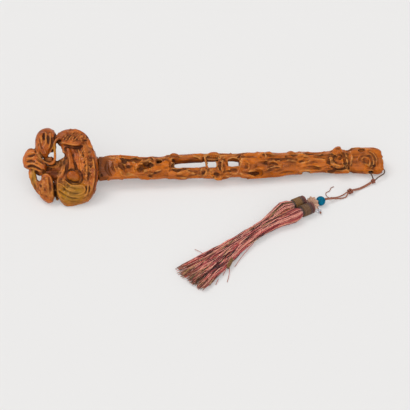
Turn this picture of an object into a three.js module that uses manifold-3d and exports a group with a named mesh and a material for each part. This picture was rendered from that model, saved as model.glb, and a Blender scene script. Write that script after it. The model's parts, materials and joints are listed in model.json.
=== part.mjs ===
// Carved wooden ruyi sceptre lying on its back, with a doubled cord, beads and a pair of tassels at its tail.
// Millimetres, +Z up. +X runs from the head to the tail, and the table is the plane Z = 0.
import * as THREE from 'three';
import { mergeVertices } from 'three/addons/utils/BufferGeometryUtils.js';
import Module from 'manifold-3d';

const wasm = await Module();
wasm.setup();

// How the sceptre lies: rolled towards its near side, and a little lower at the tail.
const ROLL = THREE.MathUtils.degToRad(23);
const PITCH = THREE.MathUtils.degToRad(1.5);
const AXIS_HEIGHT = 15.7;
const FRAME_SHIFT = { x: 1.9, y: 0.7 };

// Fits.
const GAP = 0.3;

// Head and shaft, in the face frame: u along the sceptre, v across it, w out of its face.
const SHOULDER_U = -119.5;
const TENON = { radius: 6, length: 22 };
const PEG = { radius: 2, u: -130, top: 4, bottom: -16 };
const TAIL_END_U = 197;

// Relief is laid out as the front shows it: u along the sceptre, t up the front, turned round from the face.
const FRONT = THREE.MathUtils.degToRad(27);
const RIDGE = { radius: 1.5, sink: 0.5, sides: 4 };

// Facets of the carved wood that bend less than this off their neighbours are merged.
const FACET = 0.15;

// Cord eye: a ring-shaped tunnel through the tail's near lower corner, round a wooden post.
const EYE = { x: 190.5, y: -11.5, z: 5.4, ring: 8.2, bore: 2.4 };
const LOOP_CORD = { radius: 0.75 };
const CORD = { radius: 0.65 };

// Pieces on the cord.
const UPPER_KNOT = { x: 183.2, y: -26.2, z: 2.9 };
const LOWER_KNOT = { x: 154.1, y: -42.1, z: 3.3, bore: 2.1, length: 5.6 };
const BEAD = { x: 118.5, y: -58.3, z: 5.45, radius: 5.2, bore: 1.9, heading: 208 };
const DISC = { x: 108.3, y: -64.8, z: 8.2, radius: 7.8, bore: 1.4, petals: 9 };
const GLASS = { x: 115, y: -71.2, z: 2.65, radius: 2.4, bore: 0.75, heading: 285 };

// Tassels: each a wound cap over a bound skirt of threads.
const CAP = { length: 11.6, sleeve: 5.3, wall: 0.8, top: 1.2, hole: 2.2, heading: 206.5, z: 6.85 };
const RING = { inner: 3.1, outer: 6.5, length: 3 };
const WINDING = { turns: 7, pitch: 1.45, radius: 0.48, steps: 12, sides: 4 };
const SKIRT = { strands: 48, plug: 4.1, plugLength: 6, fill: 0.4, twist: 18, ragged: 5 };
const CAP_TOP_A = { x: 98, y: -59.5 };
const CAP_TOP_B = { x: 105, y: -70.8 };

// Finishes.
const finish = (color, roughness) => new THREE.MeshStandardMaterial({ color, roughness, metalness: 0 });
const FINISH = {
  head: finish('#9a5628', 0.42),
  shaft: finish('#a85e28', 0.42),
  peg: finish('#7a4a22', 0.6),
  loop: finish('#5a3a22', 0.8),
  cord: finish('#8a4a35', 0.8),
  turquoise: finish('#146f90', 0.35),
  disc: finish('#a2745b', 0.5),
  glass: finish('#dfe3e6', 0.05),
  sleeve: finish('#3d2c1c', 0.8),
  winding: finish('#6b4c2b', 0.75),
  ring: finish('#5d2d24', 0.75),
  silk: finish('#9e5148', 0.8),
};

const vec = (x, y, z) => new THREE.Vector3(x, y, z);
const direction = (degrees) => {
  const angle = THREE.MathUtils.degToRad(degrees);
  return vec(Math.cos(angle), Math.sin(angle), 0);
};

// A closed geometry as a solid that can be joined and cut.
function solid(geometry) {
  const bare = geometry.clone();
  bare.deleteAttribute('normal');
  bare.deleteAttribute('uv');
  const merged = mergeVertices(bare);
  const vertProperties = new Float32Array(merged.attributes.position.array);
  const triVerts = new Uint32Array(merged.index.array);
  return new wasm.Manifold(new wasm.Mesh({ numProp: 3, vertProperties, triVerts }));
}

// A solid back as a geometry.
function geometryOf(body) {
  const { vertProperties, triVerts } = body.getMesh();
  const geometry = new THREE.BufferGeometry();
  geometry.setAttribute('position', new THREE.BufferAttribute(vertProperties, 3));
  geometry.setIndex(new THREE.BufferAttribute(triVerts, 1));
  return geometry;
}

const join = (geometries) => geometries.map(solid).reduce((body, piece) => body.add(piece));
const cut = (body, geometries) => geometries.map(solid).reduce((rest, tool) => rest.subtract(tool), body);

// One skin over a stack of equal rings, closed with a point at each end.
function skin(first, rings, last) {
  const count = rings[0].length;
  const points = [first, ...rings.flat(), last];
  const at = (ring, k) => 1 + ring * count + (k % count);
  const index = [];
  for (let k = 0; k < count; k += 1) {
    index.push(0, at(0, k + 1), at(0, k));
    for (let ring = 0; ring + 1 < rings.length; ring += 1) {
      index.push(at(ring, k), at(ring, k + 1), at(ring + 1, k + 1));
      index.push(at(ring, k), at(ring + 1, k + 1), at(ring + 1, k));
    }
    index.push(points.length - 1, at(rings.length - 1, k), at(rings.length - 1, k + 1));
  }
  const geometry = new THREE.BufferGeometry().setFromPoints(points);
  geometry.setIndex(index);
  return geometry;
}

const middleOf = (points) => points.reduce((sum, p) => sum.add(p), vec(0, 0, 0)).divideScalar(points.length);

// A carved lobe: a rim that follows an outline, a domed front and a rounded back.
function lobe(outline, { edge, crown, belly, sides = 20 }) {
  const rimCurve = new THREE.CatmullRomCurve3(outline.map(([u, v, w]) => vec(u, v, w)), true);
  const rim = rimCurve.getSpacedPoints(sides).slice(0, sides);
  const middle = middleOf(rim);
  const ring = (share, lift) => rim.map((p) => middle.clone().lerp(p, share).add(vec(0, 0, lift)));
  const back = [[0.5, 0.9], [0.82, 0.5]].map(([share, rise]) => ring(share, -edge / 2 - belly * rise));
  const steps = [[0.9, 0.45], [0.7, 0.8], [0.38, 0.96]];
  const front = steps.map(([share, rise]) => ring(share, edge / 2 + crown * rise));
  const rings = [...back, ring(1, -edge / 2), ring(1, edge / 2), ...front];
  const bottom = middle.clone().add(vec(0, 0, -edge / 2 - belly));
  const top = middle.clone().add(vec(0, 0, edge / 2 + crown));
  return skin(bottom, rings, top);
}

// The outline of an oval lobe, turned in the face and tipped along it.
function oval(u, v, w, a, b, turn = 0, tip = 0) {
  const angle = THREE.MathUtils.degToRad(turn);
  return Array.from({ length: 8 }, (_, k) => {
    const x = a * Math.cos((k * Math.PI) / 4);
    const y = b * Math.sin((k * Math.PI) / 4);
    const along = x * Math.cos(angle) - y * Math.sin(angle);
    return [u + along, v + x * Math.sin(angle) + y * Math.cos(angle), w + tip * along];
  });
}

// A stem with an oval section at each station [u, v, w, half width, half thickness].
function stem(stations, steps, sides) {
  const line = new THREE.CatmullRomCurve3(stations.map(([u, v, w]) => vec(u, v, w)));
  const size = new THREE.CatmullRomCurve3(stations.map(([, , , a, b]) => vec(a, b, 0)));
  const rings = Array.from({ length: steps + 1 }, (_, k) => {
    const centre = line.getPoint(k / steps);
    const half = size.getPoint(k / steps);
    return Array.from({ length: sides }, (__, side) => {
      const angle = (side * 2 * Math.PI) / sides;
      return centre.clone().add(vec(0, half.x * Math.cos(angle), half.y * Math.sin(angle)));
    });
  });
  return skin(middleOf(rings[0]), rings, middleOf(rings[steps]));
}

// A round branch along a curve, tapering from one radius to another.
function branch(points, startRadius, endRadius, steps = 8, sides = 5) {
  const curve = new THREE.CatmullRomCurve3(points.map(([u, v, w]) => vec(u, v, w)));
  const { normals, binormals } = curve.computeFrenetFrames(steps, false);
  const rings = Array.from({ length: steps + 1 }, (_, k) => {
    const centre = curve.getPointAt(k / steps);
    const radius = THREE.MathUtils.lerp(startRadius, endRadius, k / steps);
    return Array.from({ length: sides }, (__, side) => {
      const angle = (side * 2 * Math.PI) / sides;
      const across = normals[k].clone().multiplyScalar(radius * Math.cos(angle));
      return centre.clone().add(across).addScaledVector(binormals[k], radius * Math.sin(angle));
    });
  });
  return skin(curve.getPointAt(0), rings, curve.getPointAt(1));
}

// A point in the face frame from u, t and the depth d towards the front.
function facing(u, t, d) {
  return vec(u, t * Math.cos(FRONT) - d * Math.sin(FRONT), t * Math.sin(FRONT) + d * Math.cos(FRONT));
}

// A point on a stem's front skin at u and t, sunk under it, or lifted over it where sink is negative.
function onStem(stations, [u, t], sink) {
  const next = stations.findIndex((station) => station[0] >= u);
  const [from, to] = [stations[next - 1], stations[next]];
  const share = (u - from[0]) / (to[0] - from[0]);
  const [, v, w, a, b] = from.map((value, k) => THREE.MathUtils.lerp(value, to[k], share));
  const across = (a - sink) * Math.cos(FRONT);
  const up = (b - sink) * Math.sin(FRONT);
  const height = (t - v * Math.cos(FRONT) - w * Math.sin(FRONT)) / Math.hypot(across, up);
  const angle = Math.atan2(up, across) + Math.acos(THREE.MathUtils.clamp(height, -1, 1));
  return [u, v + (a - sink) * Math.cos(angle), w + (b - sink) * Math.sin(angle)];
}

// Carved ridges and grooves along a stem's front skin; each route is a list of [u, t].
function ridge(stations, route, rise = 0) {
  const points = route.map((place) => onStem(stations, place, RIDGE.sink - rise));
  return branch(points, RIDGE.radius, RIDGE.radius, route.length, RIDGE.sides);
}

function groove(stations, route, radius, depth) {
  const points = route.map((place) => onStem(stations, place, depth - radius));
  return branch(points, radius, radius, route.length, 6);
}

// A rounded lump or hollow, turned in the face.
function lump(u, v, w, a, b, c, turn = 0) {
  const geometry = new THREE.SphereGeometry(1, 9, 6);
  geometry.rotateX(Math.PI / 2);
  geometry.scale(a, b, c);
  geometry.rotateZ(THREE.MathUtils.degToRad(turn));
  return geometry.translate(u, v, w);
}

// A curled ring of wood lying in the face.
function curl(u, v, w, ring, thick) {
  return new THREE.TorusGeometry(ring, thick, 5, 10).translate(u, v, w);
}

// A round pin or bore between two points.
function rod(from, to, radius, sides = 20) {
  const length = from.distanceTo(to);
  const geometry = new THREE.CylinderGeometry(radius, radius, length, sides);
  const turn = new THREE.Quaternion().setFromUnitVectors(vec(0, 1, 0), to.clone().sub(from).normalize());
  geometry.applyQuaternion(turn);
  const middle = from.clone().lerp(to, 0.5);
  return geometry.translate(middle.x, middle.y, middle.z);
}

// A turned piece on an axis through a point, from a closed profile of [radius, place along the axis].
function turned(profile, centre, along, sides) {
  const geometry = new THREE.LatheGeometry(profile.map(([r, y]) => new THREE.Vector2(r, y)), sides);
  geometry.applyQuaternion(new THREE.Quaternion().setFromUnitVectors(vec(0, 1, 0), along));
  return geometry.translate(centre.x, centre.y, centre.z);
}

// A free cord of one radius along a smooth route.
function cord(points, radius, spacing = 3) {
  const route = new THREE.CatmullRomCurve3(points.map(([x, y, z]) => vec(x, y, z)));
  const section = Array.from({ length: 8 }, (_, k) => {
    const angle = (k * Math.PI) / 4;
    return new THREE.Vector2(radius * Math.cos(angle), radius * Math.sin(angle));
  });
  const steps = Math.ceil(route.getLength() / (spacing * 2 * radius));
  return new THREE.ExtrudeGeometry(new THREE.Shape(section), { steps, bevelEnabled: false, extrudePath: route });
}

const root = new THREE.Group();
root.position.set(FRAME_SHIFT.x, FRAME_SHIFT.y, 0);
const carving = new THREE.Group();
carving.rotation.set(ROLL, PITCH, 0, 'YXZ');
carving.position.set(0, 0, AXIS_HEIGHT);
root.add(carving);
carving.updateMatrix();
const intoFace = carving.matrix.clone().invert();

function addPiece(group, name, geometry, material) {
  const mesh = new THREE.Mesh(geometry, material);
  mesh.name = name;
  group.add(mesh);
}

// What the table takes off the wood, so that it rests on small flats.
const table = new THREE.BoxGeometry(600, 300, 40).translate(0, 0, -20).applyMatrix4(intoFace);

// Head: a cluster of fungus-like lobes on a stalk, carved in the round and pierced between the lobes.
const GREAT_LOBE = [
  [-163, 30, 8], [-158, 18, 9.5], [-155.5, 6, 9.5], [-157, -6, 8.5], [-162.5, -15.5, 7], [-165.5, -26, 4.5],
  [-162, -37, 2], [-155, -44.3, 0.1], [-143, -43.3, 0.5], [-130, -40.5, 2.5], [-124, -33, 5], [-119.5, -18, 9],
  [-119, 0, 10.5], [-123.5, 18, 10], [-130, 32.5, 8.5], [-138, 42, 7.5], [-152, 45, 7], [-163, 40, 7],
];
const UPPER_LEAF = [
  [-187.5, 23, 9], [-183, 13, 11], [-177, 7.5, 12], [-170, 16, 12], [-166, 25, 11], [-163.5, 36, 9],
  [-167, 44, 9], [-177, 47.5, 9], [-186, 40, 9],
];
const SIDE_LEAF = [
  [-200, 4, 2], [-190, -1, 4], [-181, -6, 6], [-174, -3, 7.5], [-176, 3, 8], [-182, 10, 8], [-188, 22, 6],
  [-194, 25.5, 4], [-200, 18, 3],
];
const LOWER_LEAF = [
  [-185, -17, 3], [-183, -29, -0.5], [-178, -37, -2], [-170, -39, -1], [-166, -34, 1], [-167, -24, 4],
  [-169.5, -13, 6.5], [-176, -9, 6.5], [-182, -12, 5],
];

// Small windows through the head beside the loop, cut along the line of sight: [u, t, radius].
const WINDOW_REACH = { front: 16, back: -34 };
const HEAD_WINDOWS = [[-161, 24, 1.8], [-160.3, 20.6, 2.2], [-159.8, 17.2, 2.5], [-158, 15.6, 2.5]];

function buildHead() {
  const stalk = stem([
    [-187, -1, 1, 5, 4], [-172, -2, -2, 9, 6.5], [-152, -2, -3, 13, 8.5], [-132, -1, -2, 15, 9.6],
    [SHOULDER_U, 0, -0.5, 15.6, 9.8],
  ], 10, 14);
  const burl = lump(-143, 6, -13.6, 19, 11, 11.4);
  const lobes = [
    lobe(GREAT_LOBE, { edge: 6.5, crown: 4, belly: 5, sides: 34 }),
    lobe(oval(-146.5, 31, 10.5, 19, 12.8, -6, -0.05), { edge: 3, crown: 9, belly: 6 }),
    lobe(oval(-145, -31, 5, 16.5, 10.5, 8), { edge: 3, crown: 7, belly: 3 }),
    lobe(UPPER_LEAF, { edge: 3.5, crown: 7.5, belly: 4 }),
    lobe(SIDE_LEAF, { edge: 4, crown: 6, belly: 4 }),
    lobe(LOWER_LEAF, { edge: 5, crown: 7, belly: 4 }),
  ];
  const branches = [
    branch([[-132, 33, 13], [-127, 18, 14.5], [-123.3, 2, 15], [-123.6, -14, 13.5], [-127, -28, 9.5],
      [-132, -36, 6.5]], 3.4, 3.4),
    branch([[-136, 24, 14], [-131.5, 9, 15.5], [-130.5, -6, 15], [-133, -20, 12.5]], 2.8, 2.4),
    branch([[-159.5, 21, 11.5], [-156.5, 8, 13], [-158, -5, 12], [-163, -15, 9.5]], 1.9, 1.9),
    branch([[-151, 20, 11], [-149.5, 6, 13.5], [-147, -8, 14]], 3, 4.2, 8),
    branch([[-187, 23, 9], [-186, 15, 9.5], [-180.5, 7, 10], [-174, 2.5, 10.5], [-168.5, 2.5, 10.5],
      [-165.5, 8, 11], [-165.5, 18, 11.5], [-166, 27, 11.5]], 1.8, 1.8, 14),
    branch([[-192, 3, 4], [-192.5, -7, 1.5], [-188.5, -18, 0], [-181, -29, -0.5]], 2.4, 3, 10),
    branch([[-178, 42, 14], [-175.5, 29, 18], [-176.5, 14, 15.5]], 1.6, 2.2, 8),
    branch([[-184, 38, 11], [-184, 27, 13], [-180, 14, 14]], 1.5, 1.8, 8),
    branch([[-196, 8, 6.5], [-188, 4, 9.5], [-179, -1, 10.5]], 1.5, 2, 8),
    branch([[-176, -12, 12], [-174.5, -23, 11], [-172, -34, 6.5]], 1.8, 1.8, 8),
  ];
  const peach = lump(-146, -14.5, 13, 6.2, 7, 5);
  const head = join([stalk, burl, ...lobes, ...branches, peach]);
  const windows = HEAD_WINDOWS.map(([u, t, radius]) => (
    rod(facing(u, t, WINDOW_REACH.front), facing(u, t, WINDOW_REACH.back), radius, 8)));
  const mortise = rod(vec(SHOULDER_U + 5, 0, 0), vec(SHOULDER_U - TENON.length - GAP, 0, 0), TENON.radius + GAP);
  const pegHole = rod(vec(PEG.u, 0, PEG.top + GAP), vec(PEG.u, 0, PEG.bottom - 5), PEG.radius + GAP);
  const neckRoom = stem([
    [SHOULDER_U, 0, -0.5, 16.2, 10.4], [-108, 0, 0, 15.2, 9.8], [-100, 0.5, 0, 15.4, 9.8],
  ], 4, 18);
  return cut(head, [...windows, mortise, pegHole, neckRoom, table]).simplify(FACET);
}
addPiece(carving, 'ruyi_head', geometryOf(buildHead()), FINISH.head);

// Shaft: a gnarled stem with lumps, hollows and long through slots, ending in a flared tail block.
const NECK = [
  [SHOULDER_U + GAP, 0, -0.5, 15.6, 9.8], [-108, 0, 0, 14.6, 9.2], [-95, 1, 0, 15, 9.4], [-77, 0, 0, 13.8, 8.6],
  [-60, -1.5, 0, 14.2, 9], [-48, -1, 0, 13.8, 8.8], [-38, 0.3, 0, 15, 8.6],
];
const FAR_RAIL = [
  [-44, 8, 0, 6.5, 7], [-30, 9.4, 0, 5.2, 5.4], [-8, 9.6, 0.5, 5, 5.2], [8, 9.8, 0.5, 5.6, 5.6],
  [30, 9.4, 0, 5, 5.2], [42, 8, 0, 6.5, 7],
];
const NEAR_RAIL = [
  [-44, -8, 0, 7.5, 8], [-30, -8.8, -0.5, 6.4, 7.6], [-12, -9, -0.5, 6.2, 7.2], [0, -9.2, -0.5, 6.6, 7.6],
  [14, -9.6, -0.5, 7, 8], [28, -9, 0, 6.4, 7.6], [42, -8, 0, 7.5, 8.5],
];
const TAIL = [
  [37, -1, 0, 15.6, 9.4], [48, -1.5, 0, 16.4, 10.2], [66, -1, 0, 16.2, 10], [82, -1, 0, 14.6, 9.2],
  [100, 0, 0, 14.2, 9], [118, 0, 0, 13.2, 8.4], [135, 0.3, 0, 13, 8.4], [146, 0.5, 0, 14.6, 9.4],
  [157, 0, 0, 14.6, 9.4], [160.5, 0.5, 0, 13.2, 8.4], [164, 1, 0, 15.6, 9.6], [178, 0.8, 0, 16.8, 10.4],
  [190, 0.5, 0, 16.8, 10.2], [TAIL_END_U, 0, 0, 14.6, 8.6],
];

// Main lines of the shaft's relief: tuft, rims of the hollows, braid, long ridges, leaf edges and collar.
const NECK_RIDGES = [
  [[-102, 7.5], [-101.5, 2], [-99, -4]], [[-78, -3.5], [-77.5, 1], [-72, 6], [-70, 9.5]],
  [[-60, 10.5], [-56.8, 3], [-61.5, -3], [-69.5, -6]], [[-46, 7], [-42.8, 0], [-48.5, -4.5]],
];
const TUFT_RISE = 0.9;
const TUFT_RIDGES = [
  [[-99, 12], [-97.5, 2], [-93.5, -7]], [[-96, 10], [-88, -1], [-86, -6]],
  [[-92, 11.5], [-82, 0], [-79.5, -5]],
];
const TAIL_RIDGES = [
  [[38, 6], [46, 6], [54, 5]], [[50, 4], [57, 3.2], [64, 3.5], [67.5, 1], [67, -4]],
  [[45.5, -9.5], [50, -7], [60.5, -11]],
  [[66, -1], [72, 2.4], [79, -0.5], [80.5, -4.5]], [[64, -10.5], [74, -7], [80, -6]],
  [[68, 9], [80, 9.2], [97, 8]], [[72, 4], [84, 3], [99, 2]], [[77, -10], [84, -7.8], [98, -8]],
  [[99.5, 5.2], [104, 4.4], [109.5, 6.8], [115.5, 4.2]], [[102.5, -2.2], [108, 0.3], [114.5, -1]],
  [[102, -9.5], [114, -8.8], [129, -8.8]], [[161, 11.5], [162.5, 1], [161.5, -7]],
  [[183, 11], [187.8, 5], [188.2, -3], [185.5, -9.5]],
];

function buildShaft() {
  const neck = stem(NECK, 12, 12);
  const farRail = stem(FAR_RAIL, 10, 8);
  const nearRail = stem(NEAR_RAIL, 12, 8);
  const tail = stem(TAIL, 26, 14);
  const start = NECK[0][0];
  const tenon = rod(vec(start + 4, 0, 0), vec(SHOULDER_U - TENON.length, 0, 0), TENON.radius);
  const swirl = Array.from({ length: 13 }, (_, k) => {
    const angle = 0.4 - (k * Math.PI) / 6;
    const reach = 10.5 - 0.62 * k;
    return [180 + reach * Math.cos(angle), -2 + 0.95 * reach * Math.sin(angle), 8.2 + 0.16 * k];
  });
  const carved = [
    lump(-97, 3, 5, 9, 7.5, 5.5, 20), lump(-87, -3.5, 5.5, 9, 7, 4.6, -25), lump(-79, 4, 5, 7, 6, 4.8),
    lump(-54, -6, 4.6, 14, 7, 5.4, 8), lump(-35, 9.5, 4.5, 6.5, 5, 5), lump(8.5, 10.5, 4.6, 7.5, 4.2, 3.4),
    lump(17.5, 0.5, 0, 7, 8.5, 7), lump(45, -9, 0, 8.6, 8.6, 8), lump(95, 11.3, 2, 5.5, 3.6, 4.2),
    lump(118, -3, 6, 8.5, 3.8, 3.6, -6), lump(104, 5, 6, 7, 3.6, 4, 15), lump(147, 7, 6, 7.4, 9.4, 7.6),
    lump(66, 8, 5, 10, 4.4, 4.8, 5), curl(-2.5, -10, 5.6, 4, 1.9), curl(12, -13.6, 0, 4.4, 2.3),
    curl(-66.5, -2.5, 8, 6, 1.9),
    branch([[0, 8, 3.4], [0.4, 1, 4.6], [0, -6, 4.4]], 1.2, 1.2, 5, 6),
    branch([[138, 6, 7.5], [138.6, -5, 9.4], [146, -10.5, 8.6], [154, -8.5, 9], [157, 0, 9.4],
      [156.5, 7, 7.5]], 2.3, 2.3, 12),
    branch(swirl, 2.1, 1.7, 15, 5),
    ...NECK_RIDGES.map((route) => ridge(NECK, route)),
    ...TUFT_RIDGES.map((route) => ridge(NECK, route, TUFT_RISE)),
    ...TAIL_RIDGES.map((route) => ridge(TAIL, route)),
  ];
  const hollows = [
    lump(-109, 2, 13, 7.5, 8, 5.5), lump(-66.5, -2.5, 9, 4.2, 4.2, 5.5), lump(-52.6, 2.6, 8, 2.8, 2.8, 6),
    lump(55.8, -14, 5.5, 5.2, 3.6, 5.5, 6), lump(69, -3, 11, 5, 3.8, 4.5), lump(110.5, -12.5, -4, 5.5, 3.6, 6),
    lump(175, 10, 9.5, 4.2, 3, 4), groove(TAIL, [[53, -1.5], [58, -1.2], [64, -1]], 3.2, 1.6),
    groove(NECK, [[-90, 9], [-81, 8.2], [-73, 8]], 1.7, 1.4),
    groove(NECK, [[-75, -4], [-72.5, -1.5], [-71.5, 1]], 3, 2.6),
    groove(NECK, [[-67, 4], [-64, 3], [-61, 1.5]], 2.4, 2.2),
  ];
  const eye = new THREE.TorusGeometry(EYE.ring, EYE.bore, 8, 24);
  eye.translate(EYE.x, EYE.y, EYE.z).applyMatrix4(intoFace);
  const pegHole = rod(vec(PEG.u, 0, 20), vec(PEG.u, 0, -20), PEG.radius + GAP);
  const wood = join([neck, farRail, nearRail, tail, tenon, ...carved]);
  return cut(wood, [...hollows, eye, pegHole, table]).simplify(FACET);
}
addPiece(carving, 'shaft', geometryOf(buildShaft()), FINISH.shaft);
const peg = rod(vec(PEG.u, 0, PEG.top), vec(PEG.u, 0, PEG.bottom + 4.4), PEG.radius, 12);
addPiece(carving, 'tenon_peg', peg, FINISH.peg);

// Doubled cord: a loop through the eye, a knot, two strands side by side, a sliding knot, then the beads.
function loopRoute() {
  const arc = Array.from({ length: 13 }, (_, k) => {
    const angle = THREE.MathUtils.degToRad(190 - k * 20.5);
    return [EYE.x + EYE.ring * Math.cos(angle), EYE.y + EYE.ring * Math.sin(angle), EYE.z];
  });
  return [[183.75, -23.2, 3.6], [183.1, -19.2, 4.8], ...arc, [189.5, -21.4, 4.2], [186.1, -24.4, 3.5]];
}
const CORD_A = [
  [180.3, -26.8, 2.6], [175, -29.8, 1.5], [167, -34.2, 0.95], [160.4, -37.7, 2.2], [157, -39.6, 3.2],
  [153.7, -41.4, 3.3], [150.6, -43.1, 3.1], [145.5, -45.2, 1.1], [141.6, -47.4, 1.2], [137.6, -49.9, 2.2],
  [131.5, -52.6, 4.2], [124, -55, 5.45], [118.1, -57.6, 5.45], [112.6, -60.3, 5.45], [108.4, -59.2, 5.6],
  [104, -57.7, 6.3], [100.6, -58, 6.85], [97.2, -59.9, 6.85],
];
const CORD_B = [
  [181.1, -28.2, 2.6], [175.8, -31.2, 1.5], [167.8, -35.6, 0.95], [161.2, -39.1, 2.2], [157.8, -41, 3.2],
  [154.5, -42.8, 3.3], [151.6, -44.4, 3.1], [148.6, -48.2, 1.1], [144.4, -50.4, 1.2], [138.9, -51.9, 2.2],
  [132.2, -54.2, 4.2], [124.8, -56.4, 5.45], [118.9, -59, 5.45], [113.6, -61.8, 5.9], [110.3, -63, 7.7],
  [108.3, -64.8, 8.2], [106.7, -66.5, 8.4], [105.9, -68.4, 7.9], [105.2, -70.1, 7.2], [103.6, -71.5, 6.85],
];
const LOOSE_THREAD = [
  [129.6, -51.6, 3.4], [128.6, -48.6, 2.2], [127.6, -45.2, 1.2], [127.4, -41.8, 0.8], [128.9, -38.6, 0.7],
  [131.9, -37, 0.7], [133.6, -34.4, 0.7], [135.3, -31.2, 0.7], [138.6, -29.4, 0.7],
];
const GLASS_THREAD = [
  [113.9, -63.3, 4.4], [114.2, -65.8, 3.4], [114.4, -68.6, 2.75], [115, -71.2, 2.65], [115.7, -74, 2.65],
];

function knot(place, wraps) {
  const along = vec(CORD_A[1][0] - CORD_A[0][0], CORD_A[1][1] - CORD_A[0][1], 0).normalize();
  const turns = wraps.map(([shift, lean, ring, thick]) => {
    const wrap = new THREE.TorusGeometry(ring, thick, 5, 9);
    wrap.rotateX(THREE.MathUtils.degToRad(lean));
    wrap.applyQuaternion(new THREE.Quaternion().setFromUnitVectors(vec(0, 0, 1), along));
    return wrap.translate(place.x + along.x * shift, place.y + along.y * shift, place.z);
  });
  return { turns, along };
}

function buildUpperKnot() {
  const { turns } = knot(UPPER_KNOT, [[-0.8, 18, 1.45, 0.95], [0.8, -18, 1.45, 0.95]]);
  const core = new THREE.SphereGeometry(1.9, 8, 6).translate(UPPER_KNOT.x, UPPER_KNOT.y, UPPER_KNOT.z);
  return join([core, ...turns]);
}

function buildLowerKnot() {
  const wraps = [[-1.5, 14, 2.25, 0.75], [0, -14, 2.3, 0.75], [1.5, 14, 2.25, 0.75]];
  const { turns, along } = knot(LOWER_KNOT, wraps);
  const centre = vec(LOWER_KNOT.x, LOWER_KNOT.y, LOWER_KNOT.z);
  const half = LOWER_KNOT.length / 2;
  const wall = LOWER_KNOT.bore + 0.4;
  const place = (shift) => centre.clone().addScaledVector(along, shift);
  const sleeve = rod(place(-half), place(half), wall, 10);
  const bore = rod(place(-9), place(9), LOWER_KNOT.bore, 10);
  return cut(join([sleeve, ...turns]), [bore]);
}

const stopKnot = ([x, y, z]) => new THREE.SphereGeometry(1.9, 8, 6).translate(x, y, z);
const threadEnd = ([x, y, z]) => new THREE.SphereGeometry(0.9, 6, 5).translate(x, y, z);
addPiece(root, 'cord_loop', cord(loopRoute(), LOOP_CORD.radius), FINISH.loop);
addPiece(root, 'upper_knot', geometryOf(buildUpperKnot()), FINISH.cord);
addPiece(root, 'lower_knot', geometryOf(buildLowerKnot()), FINISH.cord);
const strandA = join([cord(CORD_A, CORD.radius), stopKnot([95.6, -60.7, 6.85])]);
const strandB = join([cord(CORD_B, CORD.radius), stopKnot([102.6, -72, 6.85])]);
const beadThread = join([cord(GLASS_THREAD, 0.4), threadEnd([115.8, -74.3, 2.65])]);
addPiece(root, 'cord_a', geometryOf(strandA), FINISH.cord);
addPiece(root, 'cord_b', geometryOf(strandB), FINISH.cord);
addPiece(root, 'loose_thread', cord(LOOSE_THREAD, 0.45), FINISH.cord);
addPiece(root, 'glass_bead_thread', geometryOf(beadThread), FINISH.cord);

// Beads: a round turquoise one, a scalloped disc and a small clear one.
function beadProfile(radius, bore, arcs) {
  const reach = Math.acos(bore / radius);
  const outside = Array.from({ length: arcs + 1 }, (_, k) => {
    const angle = -reach + (2 * reach * k) / arcs;
    return [radius * Math.cos(angle), radius * Math.sin(angle)];
  });
  return [...outside, outside[0]];
}

function buildDisc() {
  const along = vec(-0.7, -0.7, 0.14).normalize();
  const corners = DISC.petals * 3;
  const rim = (share, place) => Array.from({ length: corners }, (_, k) => {
    const angle = (k * 2 * Math.PI) / corners;
    const reach = share * DISC.radius * (0.93 + 0.07 * Math.cos(DISC.petals * angle));
    return vec(reach * Math.cos(angle), reach * Math.sin(angle), place);
  });
  const rings = [rim(0.55, -0.2), rim(0.85, -1.1), rim(1, -1.3), rim(1, -0.5), rim(0.8, 0.3), rim(0.5, 1.5)];
  const petals = skin(vec(0, 0, -0.1), rings, vec(0, 0, 1.9));
  const disc = cut(solid(petals), [rod(vec(0, 0, -5), vec(0, 0, 5), DISC.bore, 10)]);
  const geometry = geometryOf(disc);
  geometry.applyQuaternion(new THREE.Quaternion().setFromUnitVectors(vec(0, 0, 1), along));
  return geometry.translate(DISC.x, DISC.y, DISC.z);
}

const beadAt = (bead, arcs, sides) => turned(
  beadProfile(bead.radius, bead.bore, arcs), vec(bead.x, bead.y, bead.z), direction(bead.heading), sides);
addPiece(root, 'turquoise_bead', beadAt(BEAD, 9, 16), FINISH.turquoise);
addPiece(root, 'flower_disc', buildDisc(), FINISH.disc);
addPiece(root, 'glass_bead', beadAt(GLASS, 6, 10), FINISH.glass);

// Caps: a sleeve closed at the top but for the cord's hole, wound with thread, with a ring over the top.
function buildSleeve(top, along) {
  const inner = CAP.sleeve - CAP.wall;
  const profile = [
    [CAP.hole, 0], [CAP.sleeve, 0], [CAP.sleeve, CAP.length], [inner, CAP.length], [inner, CAP.top],
    [CAP.hole, CAP.top], [CAP.hole, 0],
  ];
  return turned(profile, top, along, 16);
}

function buildRing(top, along) {
  const middle = (RING.inner + RING.outer) / 2;
  const profile = Array.from({ length: 7 }, (_, k) => {
    const angle = (k * Math.PI) / 3;
    const radius = middle + ((RING.outer - RING.inner) / 2) * Math.cos(angle);
    return [radius, -GAP - RING.length / 2 + (RING.length / 2) * Math.sin(angle)];
  });
  return turned(profile, top, along, 16);
}

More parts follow.
